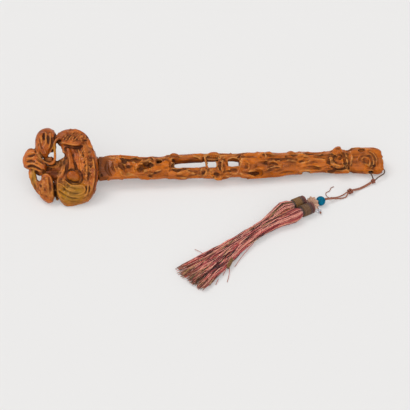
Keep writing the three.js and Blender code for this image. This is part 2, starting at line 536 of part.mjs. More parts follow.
function buildWinding(top, along) {
  const across = vec(-along.y, along.x, 0);
  const reach = CAP.sleeve + GAP + WINDING.radius;
  const count = WINDING.turns * WINDING.steps;
  const start = (CAP.length - WINDING.turns * WINDING.pitch) / 2;
  const centres = [];
  const rings = Array.from({ length: count + 1 }, (_, k) => {
    const angle = (k * 2 * Math.PI) / WINDING.steps;
    const out = across.clone().multiplyScalar(Math.cos(angle)).add(vec(0, 0, Math.sin(angle)));
    const place = start + (k * WINDING.pitch) / WINDING.steps;
    const centre = top.clone().addScaledVector(along, place).addScaledVector(out, reach);
    centres.push(centre);
    return Array.from({ length: WINDING.sides }, (__, side) => {
      const turn = (side * 2 * Math.PI) / WINDING.sides;
      const outward = WINDING.radius * Math.sin(turn);
      return centre.clone().addScaledVector(along, WINDING.radius * Math.cos(turn)).addScaledVector(out, outward);
    });
  });
  let leastGap = Infinity;
  centres.forEach((p, k) => centres.slice(k + WINDING.steps / 2).forEach((q) => {
    leastGap = Math.min(leastGap, p.distanceTo(q) - 2 * WINDING.radius);
  }));
  console.log('least gap between the turns of a cap winding, mm:', leastGap.toFixed(2));
  return skin(centres[0], rings, centres[count]);
}

// Skirts: bound threads that swell below the cap, draw in at a waist and fan out on the table.
// Each station is [x, y, z, half width, half height]; no two threads share a place in the section.
const SKIRT_A = [
  [89.5, -63.7, 6.85, 3, 3], [78.6, -67.2, 7.2, 6.1, 6.5], [58, -85.6, 6, 4.1, 5.5],
  [30.2, -106.4, 4.9, 3.8, 4.4], [-33.3, -153.4, 3.4, 8.4, 3],
];
const SKIRT_B = [
  [96.5, -75, 6.85, 3, 3], [87, -82, 7.2, 6.8, 6.5], [65.4, -94.5, 6, 4, 5.5],
  [37.8, -115.1, 4.9, 3.7, 4.4], [-18.9, -170.9, 3.4, 8.8, 3],
];

function buildSkirt(stations, top, along) {
  const goldenAngle = Math.PI * (3 - Math.sqrt(5));
  const last = stations.length - 1;
  const spread = SKIRT.fill / Math.sqrt(SKIRT.strands);
  const heading = (k) => {
    const [from, to] = [stations[Math.max(k - 1, 0)], stations[Math.min(k + 1, last)]];
    return vec(to[0] - from[0], to[1] - from[1], 0).normalize();
  };
  const strand = (number) => {
    const angle = number * goldenAngle;
    const share = Math.sqrt((number + 0.5) / SKIRT.strands);
    const ragged = SKIRT.ragged * Math.sin(number * 12.9898);
    const rings = stations.map(([x, y, z, width, height], k) => {
      const ahead = heading(k);
      const aside = vec(-ahead.y, ahead.x, 0);
      const twist = THREE.MathUtils.degToRad((SKIRT.twist * k) / last);
      return Array.from({ length: 3 }, (_, side) => {
        const corner = (side * 2 * Math.PI) / 3;
        const across = share * Math.cos(angle + twist) + spread * Math.cos(corner);
        const up = share * Math.sin(angle + twist) + spread * Math.sin(corner);
        const point = vec(x, y, z + up * height).addScaledVector(aside, across * width);
        return point.addScaledVector(ahead, k === last ? ragged : 0);
      });
    });
    return skin(middleOf(rings[0]), rings, middleOf(rings[last]));
  };
  const plugEnd = top.clone().addScaledVector(along, CAP.length - 0.4);
  const plug = rod(plugEnd.clone().addScaledVector(along, -SKIRT.plugLength), plugEnd, SKIRT.plug, 12);
  return join([plug, ...Array.from({ length: SKIRT.strands }, (_, number) => strand(number))]);
}

const along = direction(CAP.heading);
const TASSELS = [['a', CAP_TOP_A, SKIRT_A], ['b', CAP_TOP_B, SKIRT_B]];
for (const [letter, place, stations] of TASSELS) {
  const top = vec(place.x, place.y, CAP.z);
  addPiece(root, `cap_sleeve_${letter}`, buildSleeve(top, along), FINISH.sleeve);
  addPiece(root, `cap_ring_${letter}`, buildRing(top, along), FINISH.ring);
  addPiece(root, `cap_winding_${letter}`, buildWinding(top, along), FINISH.winding);
  addPiece(root, `skirt_${letter}`, geometryOf(buildSkirt(stations, top, along)), FINISH.silk);
}

export default root;
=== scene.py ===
"""Looks of a carved wooden ruyi sceptre with a corded tassel pendant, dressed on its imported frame.

Lengths are millimetres until a mesh is made, which is in metres in the row frame.
"""

import json
import logging
import math
import random
from collections.abc import Callable
from dataclasses import dataclass
from enum import Enum
from itertools import product

import bpy
import numpy as np
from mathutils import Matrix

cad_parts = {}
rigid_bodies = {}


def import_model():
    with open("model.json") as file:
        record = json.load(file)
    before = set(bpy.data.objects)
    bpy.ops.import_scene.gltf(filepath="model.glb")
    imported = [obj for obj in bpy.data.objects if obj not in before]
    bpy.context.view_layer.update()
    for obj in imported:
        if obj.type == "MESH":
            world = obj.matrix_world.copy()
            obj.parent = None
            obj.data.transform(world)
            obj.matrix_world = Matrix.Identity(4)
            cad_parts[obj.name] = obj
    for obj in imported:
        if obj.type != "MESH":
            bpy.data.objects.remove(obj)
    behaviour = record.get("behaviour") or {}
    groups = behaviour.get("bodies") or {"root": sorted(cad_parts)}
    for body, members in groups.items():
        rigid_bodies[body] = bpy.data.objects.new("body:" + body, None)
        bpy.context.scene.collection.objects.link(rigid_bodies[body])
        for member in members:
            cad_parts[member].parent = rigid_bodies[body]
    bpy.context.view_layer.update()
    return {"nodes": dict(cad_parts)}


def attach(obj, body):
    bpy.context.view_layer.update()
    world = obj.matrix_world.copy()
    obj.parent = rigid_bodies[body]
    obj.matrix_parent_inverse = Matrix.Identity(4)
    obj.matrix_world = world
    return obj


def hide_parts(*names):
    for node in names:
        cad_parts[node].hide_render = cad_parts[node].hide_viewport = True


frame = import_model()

import openvdb
from bpy.types import Material, Node, NodeSocket, NodeTree, Object
from mathutils import Vector

LOG = logging.getLogger("ruyi")
MM = 0.001
# The step from the places of the pendant, as they are written here, to the row frame.
SHIFT = np.array([1.9, 0.7, 0.0])
GOLDEN_ANGLE = math.pi * (3 - math.sqrt(5))
UP = np.array([0.0, 0.0, 1.0])
# Points that a smooth line gets between two given places, and the least distance between those.
SPAN_POINTS = 24
LEAST_SPAN = 1e-6
# A line whose first direction is steeper than this has its frames started from X.
STEEP = 0.9
# Edges sharper than this are eased.
SHARP = math.radians(50)
# How deep the groove between two plies is, as a share of the cord's radius.
PLY_GROOVE = 0.26


Place = tuple[float, float, float]
Span = tuple[float, float]
# Places and colours of a colour ramp.
Stops = tuple[tuple[float, str], ...]
# A spot of colour or of painted shade: u, t, half length, half width and strength.
Spot = tuple[float, float, float, float, float]
# A gouge mark: its start, its way over the wood and the way to the wood.
Mark = tuple[np.ndarray, np.ndarray, np.ndarray]


# Small tools for meshes


def deselect() -> None:
    """Leaves nothing selected."""
    for obj in bpy.context.selected_objects:
        obj.select_set(False)


def take(obj: Object) -> None:
    """Makes one object the only one in hand.

    Args:
        obj: the object.
    """
    deselect()
    obj.select_set(True)
    bpy.context.view_layer.objects.active = obj


def pick(obj: Object, test: Callable[[Vector], bool]) -> None:
    """Selects, in edit mode, only the vertices whose place passes a test.

    Args:
        obj: the object in edit mode.
        test: says whether a place, in the object's own metres, is wanted.
    """
    bpy.ops.mesh.select_mode(type="VERT")
    bpy.ops.mesh.select_all(action="DESELECT")
    bpy.ops.object.mode_set(mode="OBJECT")
    for vertex in obj.data.vertices:
        vertex.select = test(vertex.co)
    bpy.ops.object.mode_set(mode="EDIT")


def refine(obj: Object, kind: str, **settings: object) -> None:
    """Adds a modifier to an object and applies it.

    Args:
        obj: the object.
        kind: the modifier's type.
        settings: its settings by name.
    """
    take(obj)
    modifier = obj.modifiers.new(kind.lower(), kind)
    for key, value in settings.items():
        setattr(modifier, key, value)
    bpy.ops.object.modifier_apply(modifier=modifier.name)


def ease_edges(obj: Object, width: float) -> None:
    """Rounds an object's sharp edges by a bevel of a width in mm."""
    refine(obj, "BEVEL", width=width * MM, segments=2, limit_method="ANGLE", angle_limit=SHARP)


def settle(obj: Object, centre: np.ndarray, along: np.ndarray) -> None:
    """Turns an object's +Z to a direction, moves it to a place and puts both into its mesh.

    Args:
        obj: the object, made at the origin.
        centre: its place in the row frame, mm.
        along: the direction.
    """
    take(obj)
    obj.rotation_mode = "QUATERNION"
    obj.rotation_quaternion = Vector((0, 0, 1)).rotation_difference(Vector(along))
    obj.location = Vector(centre) * MM
    bpy.ops.object.transform_apply(location=True, rotation=True, scale=True)


def give_values(obj: Object, **values: np.ndarray) -> None:
    """Stores numbers on the vertices of an object.

    Args:
        obj: the object.
        values: numbers for each vertex, by attribute name.
    """
    for key, numbers in values.items():
        layer = obj.data.attributes.new(key, "FLOAT", "POINT")
        layer.data.foreach_set("value", np.asarray(numbers, dtype=np.float32))


def closed_faces(rings: int, sides: int) -> list[tuple[int, int, int, int]]:
    """The faces of a hoop: rings of points one after the other, where the last ring meets the first.

    Args:
        rings: the number of rings.
        sides: the number of points in each.

    Returns:
        The faces as tuples of vertex numbers.
    """
    faces = []
    for ring, side in product(range(rings), range(sides)):
        here = ring * sides
        there = (ring + 1) % rings * sides
        beside = (side + 1) % sides
        faces.append((here + side, there + side, there + beside, here + beside))
    return faces


def new_piece(name: str, points: np.ndarray, faces: list, **values: np.ndarray) -> Object:
    """Makes a mesh object.

    Args:
        name: the piece's name.
        points: its vertices in the row frame, mm.
        faces: its faces as tuples of vertex numbers.
        values: numbers for each vertex, by attribute name.

    Returns:
        The object, shaded smooth.
    """
    mesh = bpy.data.meshes.new(name)
    mesh.from_pydata((np.asarray(points) * MM).tolist(), [], faces)
    mesh.update()
    obj = bpy.data.objects.new(name, mesh)
    bpy.context.scene.collection.objects.link(obj)
    give_values(obj, **values)
    mesh.shade_smooth()
    return obj


def dress(obj: Object, body: str, slot: str, finish: Material, *nodes: str) -> None:
    """Gives a piece its body and material, and hides the frame nodes that it stands for.

    Args:
        obj: the piece.
        body: the body that it rides on.
        slot: the record's material slot; not used.
        finish: its material.
        nodes: the nodes that it replaces.
    """
    obj.data.materials.clear()
    obj.data.materials.append(finish)
    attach(obj, body)
    if nodes:
        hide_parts(*nodes)
    LOG.info("%s: %d faces on %s", obj.name, len(obj.data.polygons), body)


# Lines and tubes


def smooth_route(points: np.ndarray, step: float) -> np.ndarray:
    """Finds evenly spaced points on a smooth line through given points.

    Args:
        points: the places that the line goes through.
        step: the spacing.

    Returns:
        The points of the line.
    """
    points = np.asarray(points, dtype=float)
    ends = 2 * points[[0, -1]] - points[[1, -2]]
    line = np.vstack([ends[0], points, ends[1]])
    pieces = []
    for k in range(1, len(line) - 2):
        p0, p1, p2, p3 = line[k - 1 : k + 3]
        gaps = [max(np.linalg.norm(b - a), LEAST_SPAN) ** 0.5 for a, b in ((p0, p1), (p1, p2), (p2, p3))]
        t1, t2, t3 = np.cumsum(gaps)
        t = np.linspace(t1, t2, SPAN_POINTS, endpoint=False)[:, None]
        a1 = (t1 - t) / t1 * p0 + t / t1 * p1
        a2 = (t2 - t) / (t2 - t1) * p1 + (t - t1) / (t2 - t1) * p2
        a3 = (t3 - t) / (t3 - t2) * p2 + (t - t2) / (t3 - t2) * p3
        b1 = (t2 - t) / t2 * a1 + t / t2 * a2
        b2 = (t3 - t) / (t3 - t1) * a2 + (t - t1) / (t3 - t1) * a3
        pieces.append((t2 - t) / (t2 - t1) * b1 + (t - t1) / (t2 - t1) * b2)
    dense = np.vstack([*pieces, points[-1:]])
    lengths = np.concatenate([[0], np.cumsum(np.linalg.norm(np.diff(dense, axis=0), axis=1))])
    places = np.linspace(0, lengths[-1], max(2, round(lengths[-1] / step) + 1))
    return np.stack([np.interp(places, lengths, dense[:, axis]) for axis in range(dense.shape[1])], axis=1)


def length_of(route: np.ndarray) -> float:
    """The length of a line of points."""
    return float(np.linalg.norm(np.diff(route, axis=0), axis=1).sum())


def carried_frames(route: np.ndarray) -> tuple[np.ndarray, np.ndarray]:
    """Finds two directions across a line at each point, carried along without twist.

    Args:
        route: the points of the line.

    Returns:
        The first and the second direction at each point.
    """
    ahead = np.gradient(route, axis=0)
    ahead /= np.linalg.norm(ahead, axis=1)[:, None]
    across = UP if abs(ahead[0, 2]) < STEEP else np.array([1.0, 0.0, 0.0])
    first = []
    for way in ahead:
        across = across - way * across.dot(way)
        across = across / np.linalg.norm(across)
        first.append(across)
    first = np.array(first)
    return first, np.cross(ahead, first)


def cross_ways(along: np.ndarray) -> tuple[np.ndarray, np.ndarray]:
    """The two directions across a level direction: to its left, and up."""
    return np.array([-along[1], along[0], 0.0]), UP


class Skein:
    """Tubes of thread gathered into one mesh."""

    def __init__(self) -> None:
        """Starts with no thread."""
        self.points: list[np.ndarray] = []
        self.faces: list[tuple[int, ...]] = []
        self.values: dict[str, list[np.ndarray]] = {}
        self.count = 0

    def lay(self, route: np.ndarray, radii: np.ndarray, closed: bool = False, **values: np.ndarray) -> None:
        """Adds a tube along a route.

        Args:
            route: the points of its middle line.
            radii: its radius for each point and side.
            closed: whether its end meets its start.
            values: numbers for each point and side, or each point, by attribute name.
        """
        rings, sides = radii.shape
        first, second = carried_frames(route)
        turns = np.arange(sides) * 2 * math.pi / sides
        out = np.cos(turns)[None, :, None] * first[:, None] + np.sin(turns)[None, :, None] * second[:, None]
        self.points.append((route[:, None] + radii[:, :, None] * out).reshape(-1, 3))
        # The sides of a tube run the other way round than a hoop's, so its faces are turned over.
        faces = [(a, d, c, b) for a, b, c, d in closed_faces(rings, sides)]
        if not closed:
            last = (rings - 1) * sides
            faces = faces[:-sides] + [tuple(range(sides))[::-1], tuple(range(last, last + sides))]
        self.faces += [tuple(self.count + corner for corner in face) for face in faces]
        for key, numbers in values.items():
            numbers = np.asarray(numbers, dtype=float).reshape(rings, -1)
            self.values.setdefault(key, []).append(np.broadcast_to(numbers, (rings, sides)).ravel())
        self.count += rings * sides

    def twine(self, route: np.ndarray, radius: float, pitch: float, sides: int, closed: bool = False) -> None:
        """Adds a cord of two twisted plies along a route, with the depth of its groove from 0 to 1.

        Args:
            route: the points of its middle line.
            radius: its outer radius.
            pitch: the length of one turn of the plies.
            sides: the number of sides of its section.
            closed: whether its end meets its start.
        """
        steps = np.linalg.norm(np.diff(route, axis=0, prepend=route[:1]), axis=1)
        turn = np.cumsum(steps) * 2 * math.pi / pitch
        angles = np.arange(sides) * 2 * math.pi / sides
        groove = 1 - np.abs(np.cos(angles[None] - turn[:, None]))
        self.lay(route, radius * (1 - PLY_GROOVE * groove**2), closed, groove=groove)

    def piece(self, name: str) -> Object:
        """Makes one object of all the tubes."""
        values = {key: np.concatenate(parts) for key, parts in self.values.items()}
        return new_piece(name, np.vstack(self.points), self.faces, **values)


# Materials


def linear(code: str) -> tuple[float, float, float, float]:
    """Turns an sRGB hex value into linear red, green, blue and alpha."""
    shares = [int(code[k : k + 2], 16) / 255 for k in (1, 3, 5)]
    return *(s / 12.92 if s <= 0.04045 else ((s + 0.055) / 1.055) ** 2.4 for s in shares), 1.0


def feed(node: Node, inputs: dict) -> None:
    """Gives a node its inputs.

    Args:
        node: the node.
        inputs: values, or sockets to link from, by the name or number of the input.
    """
    for key, value in inputs.items():
        if isinstance(value, NodeSocket):
            node.id_data.links.new(value, node.inputs[key])
        else:
            node.inputs[key].default_value = value


def add_node(
    tree: NodeTree, kind: str, settings: dict | None = None, inputs: dict | None = None, stops: Stops = ()
) -> Node:
    """Adds a shader node with its settings and links.

    Args:
        tree: the node tree.
        kind: the node's type.
        settings: the node's own settings by name.
        inputs: its inputs, as feed takes them.
        stops: places and colours of a colour ramp.

    Returns:
        The node.
    """
    node = tree.nodes.new(kind)
    for key, value in (settings or {}).items():
        setattr(node, key, value)
    feed(node, inputs or {})
    for number, (place, code) in enumerate(stops):
        elements = node.color_ramp.elements
        element = elements[number] if number < len(elements) else elements.new(1.0)
        element.position = place
        element.color = linear(code)
    return node


def new_material(name: str) -> tuple[Material, NodeTree, Node]:
    """Makes a material with nothing but its shader and output.

    Args:
        name: the material's name.

    Returns:
        The material, its node tree and its shader.
    """
    material = bpy.data.materials.new(name)
    material.use_nodes = True
    tree = material.node_tree
    tree.nodes.clear()
    shader = add_node(tree, "ShaderNodeBsdfPrincipled")
    add_node(tree, "ShaderNodeOutputMaterial", inputs={"Surface": shader.outputs[0]})
    return material, tree, shader


# Numbers of the Mix node's colour inputs and output.
MIX_A = 6
MIX_B = 7
MIX_OUT = 2


def object_place(tree: NodeTree) -> NodeSocket:
    """The place on the piece, in metres."""
    return add_node(tree, "ShaderNodeTexCoord").outputs["Object"]


def value_of(tree: NodeTree, name: str) -> NodeSocket:
    """A number that is stored on the vertices."""
    return add_node(tree, "ShaderNodeAttribute", {"attribute_name": name}).outputs["Fac"]


def noise(tree: NodeTree, place: NodeSocket, size_mm: float, detail: float, **more: float) -> NodeSocket:
    """A noise pattern at a place, with cells of a size."""
    inputs = {"Vector": place, "Scale": 1 / (size_mm * MM), "Detail": detail, **more}
    return add_node(tree, "ShaderNodeTexNoise", inputs=inputs).outputs[0]


def ramp(tree: NodeTree, share: NodeSocket, *stops: tuple[float, str]) -> NodeSocket:
    """Turns a number into a colour."""
    return add_node(tree, "ShaderNodeValToRGB", inputs={"Fac": share}, stops=stops).outputs[0]


def cover(
    tree: NodeTree, share: NodeSocket | float, under: NodeSocket, over: NodeSocket | tuple, kind: str = "MIX"
) -> NodeSocket:
    """Covers a colour with another one by a share."""
    settings = {"data_type": "RGBA", "blend_type": kind}
    return add_node(tree, "ShaderNodeMix", settings, {0: share, MIX_A: under, MIX_B: over}).outputs[MIX_OUT]


def work_out(tree: NodeTree, work: str, *values: NodeSocket | float, clamped: bool = False) -> NodeSocket:
    """Works out a number from others."""
    settings = {"operation": work, "use_clamp": clamped}
    return add_node(tree, "ShaderNodeMath", settings, dict(enumerate(values))).outputs[0]


def remap(tree: NodeTree, value: NodeSocket, low: float, high: float, top: float = 1.0) -> NodeSocket:
    """Turns numbers from zero to a top into numbers from low to high."""
    inputs = {"Value": value, "From Max": top, "To Min": low, "To Max": high}
    return add_node(tree, "ShaderNodeMapRange", inputs=inputs).outputs[0]


def roughen(tree: NodeTree, shader: Node, height: NodeSocket, strength: float, depth_mm: float) -> None:
    """Gives a shader small bumps by a pattern of their height."""
    inputs = {"Height": height, "Strength": strength, "Distance": depth_mm * MM}
    feed(shader, {"Normal": add_node(tree, "ShaderNodeBump", inputs=inputs).outputs[0]})


@dataclass(frozen=True)
class WaxedBoxwood:
    """Hand-carved hardwood, stained and wax-polished: grain along the stem, painted shade in the cuts, and
    ridges worn paler with painted highlights.
    """

    name: str
    light: str
    middle: str
    deep: str
    # cut: the colour painted into creases and hollows as painted shade.
    cut: str
    # rubbed_highlight: the colour of sharp ridges, worn paler wood with a painted highlight.
    rubbed_highlight: str
    patch: str
    streak: str = "#c9b7a8"
    streak_share: float = 0.35
    grain_mm: float = 1.3
    grain_length_mm: float = 26.0
    cloud_mm: float = 13.0
    tool_mark_mm: float = 2.2
    tool_mark_depth_mm: float = 0.35
    tool_mark_strength: float = 0.55
    waxed_roughness: float = 0.19
    cut_roughness: float = 0.65
    full_shelter: float = 0.7
    ior: float = 1.5
    specular: float = 0.22

    def material(self) -> Material:
        """Builds the material: grain streaks, clouds of stain, patches, ridges worn paler with painted
        highlights, and painted shade in the cuts.

        Returns:
            The material.
        """
        material, tree, shader = new_material(self.name)
        place = object_place(tree)
        across = 1 / (self.grain_mm * MM)
        stretch = (1 / (self.grain_length_mm * MM), across, across)
        mapping = add_node(tree, "ShaderNodeMapping", inputs={"Vector": place, "Scale": stretch})
        grain = add_node(
            tree, "ShaderNodeTexNoise",
            inputs={"Vector": mapping.outputs[0], "Scale": 1.0, "Detail": 4.0, "Distortion": 0.4},
        ).outputs[0]
        cloud = noise(tree, place, self.cloud_mm, 6.0)
        tone = ramp(tree, cloud, (0.32, self.deep), (0.5, self.middle), (0.66, self.light))
        streaks = ramp(tree, grain, (0.35, self.streak), (0.62, "#ffffff"))
        grained = cover(tree, self.streak_share, tone, streaks, "MULTIPLY")
        patched = cover(tree, value_of(tree, "patch"), grained, linear(self.patch))
        # Sharp ridges take the worn, paler colour with a painted highlight.
        worn = cover(tree, value_of(tree, "ridge"), patched, linear(self.rubbed_highlight))
        # The shelter attribute paints shade into creases and hollows with the cut colour.
        shelter = value_of(tree, "shelter")
        marks = noise(tree, place, self.tool_mark_mm, 3.0, Roughness=0.6)
        roughen(tree, shader, marks, self.tool_mark_strength, self.tool_mark_depth_mm)
        feed(shader, {
            "Base Color": cover(tree, shelter, worn, linear(self.cut)),
            "Roughness": remap(tree, shelter, self.waxed_roughness, self.cut_roughness, self.full_shelter),
            "IOR": self.ior,
            "Specular IOR Level": self.specular,
        })
        return material


@dataclass(frozen=True)
class TwistedSilk:
    """Dyed silk cord of two plies: a soft sheen on each ply and painted shade in the groove where they meet.
    """

    name: str
    light: str
    # deep: the groove's colour, painted shade where the plies meet.
    deep: str
    groove_shade: float = 0.75
    fleck_mm: float = 1.8
    fleck_depth_mm: float = 0.1
    fleck_strength: float = 0.35
    roughness: float = 0.62
    sheen: float = 0.25

    def material(self) -> Material:
        """Builds the material: painted shade from the groove attribute, and worn flecks.

        Returns:
            The material.
        """
        material, tree, shader = new_material(self.name)
        fleck = noise(tree, object_place(tree), self.fleck_mm, 4.0)
        # The groove between the plies is painted darker: painted shade.
        share = work_out(tree, "MULTIPLY_ADD", value_of(tree, "groove"), self.groove_shade, fleck)
        tone = ramp(tree, share, (0.38, self.light), (1.05, self.deep))
        roughen(tree, shader, fleck, self.fleck_strength, self.fleck_depth_mm)
        feed(shader, {"Base Color": tone, "Roughness": self.roughness, "Sheen Weight": self.sheen})
        return material


@dataclass(frozen=True)
class FadedSilk:
    """Loose silk, faded unevenly: each thread has its own tone, and the ends have browned."""

    name: str
    stops: Stops
    tip: str
    roughness: float = 0.55
    sheen: float = 0.2

    def material(self) -> Material:
        """Builds the material from the tint and the tip attribute of each thread.

        Returns:
            The material.
        """
        material, tree, shader = new_material(self.name)
        thread = ramp(tree, value_of(tree, "tint"), *self.stops)
        browned = cover(tree, value_of(tree, "tip"), thread, linear(self.tip))
        feed(shader, {"Base Color": browned, "Roughness": self.roughness, "Sheen Weight": self.sheen})
        return material


@dataclass(frozen=True)
class TurquoiseStone:
    """Polished dyed turquoise: clear blue with paler clouds and a few darker veins under a hard gloss."""

    name: str
    light: str
    middle: str
    vein: str
    cloud_mm: float = 2.4
    roughness: float = 0.22
    specular: float = 0.05

    def material(self) -> Material:
        """Builds the material.

        Returns:
            The material.
        """
        material, tree, shader = new_material(self.name)
        cloud = noise(tree, object_place(tree), self.cloud_mm, 5.0, Distortion=0.8)
        tone = ramp(tree, cloud, (0.3, self.vein), (0.42, self.middle), (0.72, self.light))
        feed(shader, {"Base Color": tone, "Roughness": self.roughness, "Specular IOR Level": self.specular})
        return material


@dataclass(frozen=True)
class CarvedBone:
    """Stained bone disc: warm tan with small flecks, paler towards cream the lower a place lies."""

    name: str
    stops: Stops
    fleck_share: float = 0.3
    fleck_mm: float = 1.2
    fleck_depth_mm: float = 0.15
    fleck_strength: float = 0.4
    roughness: float = 0.5

    def material(self) -> Material:
        """Builds the material from the lowness attribute and flecks.

        Returns:
            The material.
        """
        material, tree, shader = new_material(self.name)
        fleck = noise(tree, object_place(tree), self.fleck_mm, 4.0)
        share = work_out(tree, "MULTIPLY_ADD", fleck, self.fleck_share, value_of(tree, "wear"))
        roughen(tree, shader, fleck, self.fleck_strength, self.fleck_depth_mm)
        feed(shader, {"Base Color": ramp(tree, share, *self.stops), "Roughness": self.roughness})
        return material


@dataclass(frozen=True)
class ClearGlass:
    """Small pressed glass bead: clear with a cool cast, and bright where it bends the pale table."""

    name: str
    cast: str
    roughness: float = 0.06
    ior: float = 1.5
    transmission: float = 0.85

    def material(self) -> Material:
        """Builds the material.

        Returns:
            The material.
        """
        material, _, shader = new_material(self.name)
        feed(shader, {
            "Base Color": linear(self.cast),
            "Roughness": self.roughness,
            "IOR": self.ior,
            "Transmission Weight": self.transmission,
        })
        return material


HEAD_WOOD = WaxedBoxwood(
    "waxed_boxwood_head", "#d07024", "#b45a16", "#90420c", "#301103", "#da9040", "#9c6f10"
)
# The shaft's patch colour is the neck's dark stain, also used as painted shade in hollows.
SHAFT_WOOD = WaxedBoxwood(
    "waxed_boxwood_shaft", "#d06f08", "#b85e06", "#9a4c04", "#331503", "#e2a254", "#5a2a0c"
)
PEG_WOOD = WaxedBoxwood("plain_boxwood_peg", "#86562b", "#7a4a22", "#6c401c", "#4a2c14", "#8f6034", "#7a4a22")
LOOP_SILK = TwistedSilk("twisted_silk_loop", "#6d4a2b", "#38210f")
STRAND_SILK = TwistedSilk("twisted_silk_strands", "#bd7855", "#6d3423")
KNOT_SILK = TwistedSilk("twisted_silk_knots", "#a9552c", "#602814")
CAP_SILK = FadedSilk(
    "wound_silk_cap", ((0.0, "#3f1712"), (0.3, "#4b260e"), (0.6, "#633f0e"), (1.0, "#8c621a")), "#3a2413"
)
# The ring is painted darker in the dips between its turns and lighter on their tops: painted shade.
RING_SILK = FadedSilk("wound_silk_ring", ((0.0, "#4a1e19"), (1.0, "#6d342a")), "#38150f")
LINING = TwistedSilk("cap_lining_cloth", "#46331f", "#2c2013")
TASSEL_SILK = FadedSilk(
    "faded_tassel_silk",
    (
        (0.0, "#3a0c0c"), (0.2, "#84282a"), (0.44, "#c24846"), (0.68, "#de6e66"),
        (0.86, "#f2a896"), (0.95, "#d2aa70"), (1.0, "#8a6632"),
    ),
    "#8a6238",
)
TURQUOISE = TurquoiseStone("polished_turquoise", "#007a9c", "#005f7c", "#003a52")
DISC_BONE = CarvedBone(
    "stained_bone_disc", ((0.1, "#ac846a"), (0.4, "#dcab90"), (0.72, "#efc9b0"), (1.0, "#fff6ea"))
)
GLASS = ClearGlass("pressed_clear_glass", "#e6e6ee")


# Carving: the wood as a field of distances


class Tool(Enum):
    """What a stroke does to the wood."""

    RAISE = "raise"
    CUT = "cut"


@dataclass(frozen=True)
class Stroke:
    """A stroke along (u, t) places that are laid on the wood from the front, or along (u, t, d) places."""

    tool: Tool
    radius: float
    depth: float
    path: tuple[tuple[float, ...], ...]


def bead(radius: float, height: float, *path: tuple[float, ...]) -> Stroke:
    """A raised, rounded line that stands proud of the wood by its height."""
    return Stroke(Tool.RAISE, radius, height, path)


def gouge(radius: float, depth: float, *path: tuple[float, ...]) -> Stroke:
    """A cut of a round gouge."""
    return Stroke(Tool.CUT, radius, depth, path)


@dataclass(frozen=True)
class Studs:
    """A patch of small bosses on the front: its (u, t) corners, their spacing, radius, height and seed."""

    outline: list[Span]
    spacing: float
    radius: float
    height: float
    seed: int


def smooth_least(a: np.ndarray, b: np.ndarray, blend: float) -> np.ndarray:
    """The lesser of two fields, rounded over a blend width where they are close."""
    share = np.clip(0.5 + 0.5 * (b - a) / blend, 0, 1)
    return b + (a - b) * share - blend * share * (1 - share)


def inside(outline: list[Span], u: float, t: float) -> bool:
    """Finds whether a place lies inside an outline.

    Args:
        outline: the outline's corners.
        u: the place along the wood.
        t: the place up the picture.

    Returns:
        Whether it does.
    """
    odd = False
    for (u0, t0), (u1, t1) in zip(outline, outline[1:] + outline[:1]):
        if (t0 > t) != (t1 > t) and u < (u1 - u0) * (t - t0) / (t1 - t0) + u0:
            odd = not odd
    return odd


# The carving frame: how far it leans and pitches in the row frame, and the place of its middle there.
LEAN = math.radians(50.0)
PITCH = math.radians(1.5)
AXIS_PLACE = np.array([1.9, 0.7, 15.7])
LEANING = np.array([[1, 0, 0], [0, math.cos(LEAN), -math.sin(LEAN)], [0, math.sin(LEAN), math.cos(LEAN)]])
PITCHING = np.array(
    [[math.cos(PITCH), 0, math.sin(PITCH)], [0, 1, 0], [-math.sin(PITCH), 0, math.cos(PITCH)]]
)
TURN = PITCHING @ LEANING
# The field: the cells on each side of the surface, the room round the wood and the mesh's limit.
BAND_CELLS = 7.0
BAND_MARGIN = 4.0
MOST_TRIANGLES = 180000
# How wide the edge of raised and cut strokes, of bosses and of the cord's groove is rounded.
RAISE_BLEND = 0.6
CUT_BLEND = 0.5
STUD_BLEND = 0.5
GROOVE_BLEND = 0.3
# Places fall on the wood from this d, in steps of a share of their distance from it.
TOP_START = 45.0
TO_BACK = np.array([0.0, 0.0, -1.0])
FALL_STEPS = 60
FALL_SHARE = 0.9
# A row of balls: the room in which it is worked out, and the distance beyond that.
BALL_ROOM = 1.5
FAR_OFF = 99.0
# A stroke: the spacing of its balls in radii, its thickness at the ends and the rise from there, over
# so many radii, the drop past which a ball has missed the wood and the balls over which it is levelled.
BALL_STEP = 0.4
END_SHARE = 0.55
END_RISE = 0.45
END_RADII = 3
STROKE_DROP = 6
LEVEL_BALLS = 7
# Bosses: the spacing of their rows, their scatter, both in spacings, their sizes and the greatest drop.
STUD_ROW = 0.87
STUD_SCATTER = 0.25
STUD_SIZES = (0.8, 1.15)
STUD_DROP = 8
# Gouge marks: their points, how few may land, how far off or apart these may be, their radii and depths.
MARK_POINTS = 14
MARK_LEAST = 6
MARK_OFF = 0.2
MARK_JUMP = 2.5
MARK_RADII = (0.8, 1.5)
MARK_DEPTHS = (0.3, 0.75)
# Winding ridges: their width in the pattern, and their mean height, which is taken off.
GNARL_WIDTH = 0.25
GNARL_MEAN = 0.35
# Spots of colour or of painted shade: the strength at the middle, its fall to the edge and the least d of the
# front.
SPOT_CORE = 1.6
SPOT_FALL = 1.2
FRONT_LEAST = -6
# Painted shade in the cuts: where it starts and the most of it. Ridges, worn paler and with a painted
# highlight: their gain, start and most.
CREASE_SHADE_START = 0.14
CREASE_SHADE_MOST = 0.88
RUB_HIGHLIGHT_GAIN = 2.4
RUB_HIGHLIGHT_START = 0.58
RUB_HIGHLIGHT_MOST = 0.44
# Distances from the surface at which cuts and ridges are felt, and the weight of each.
SHELTER_SCALES = ((0.9, 0.2), (1.8, 0.35), (3.0, 0.45))
RIDGE_SCALES = ((0.7, 0.4), (1.4, 0.4), (2.4, 0.2))


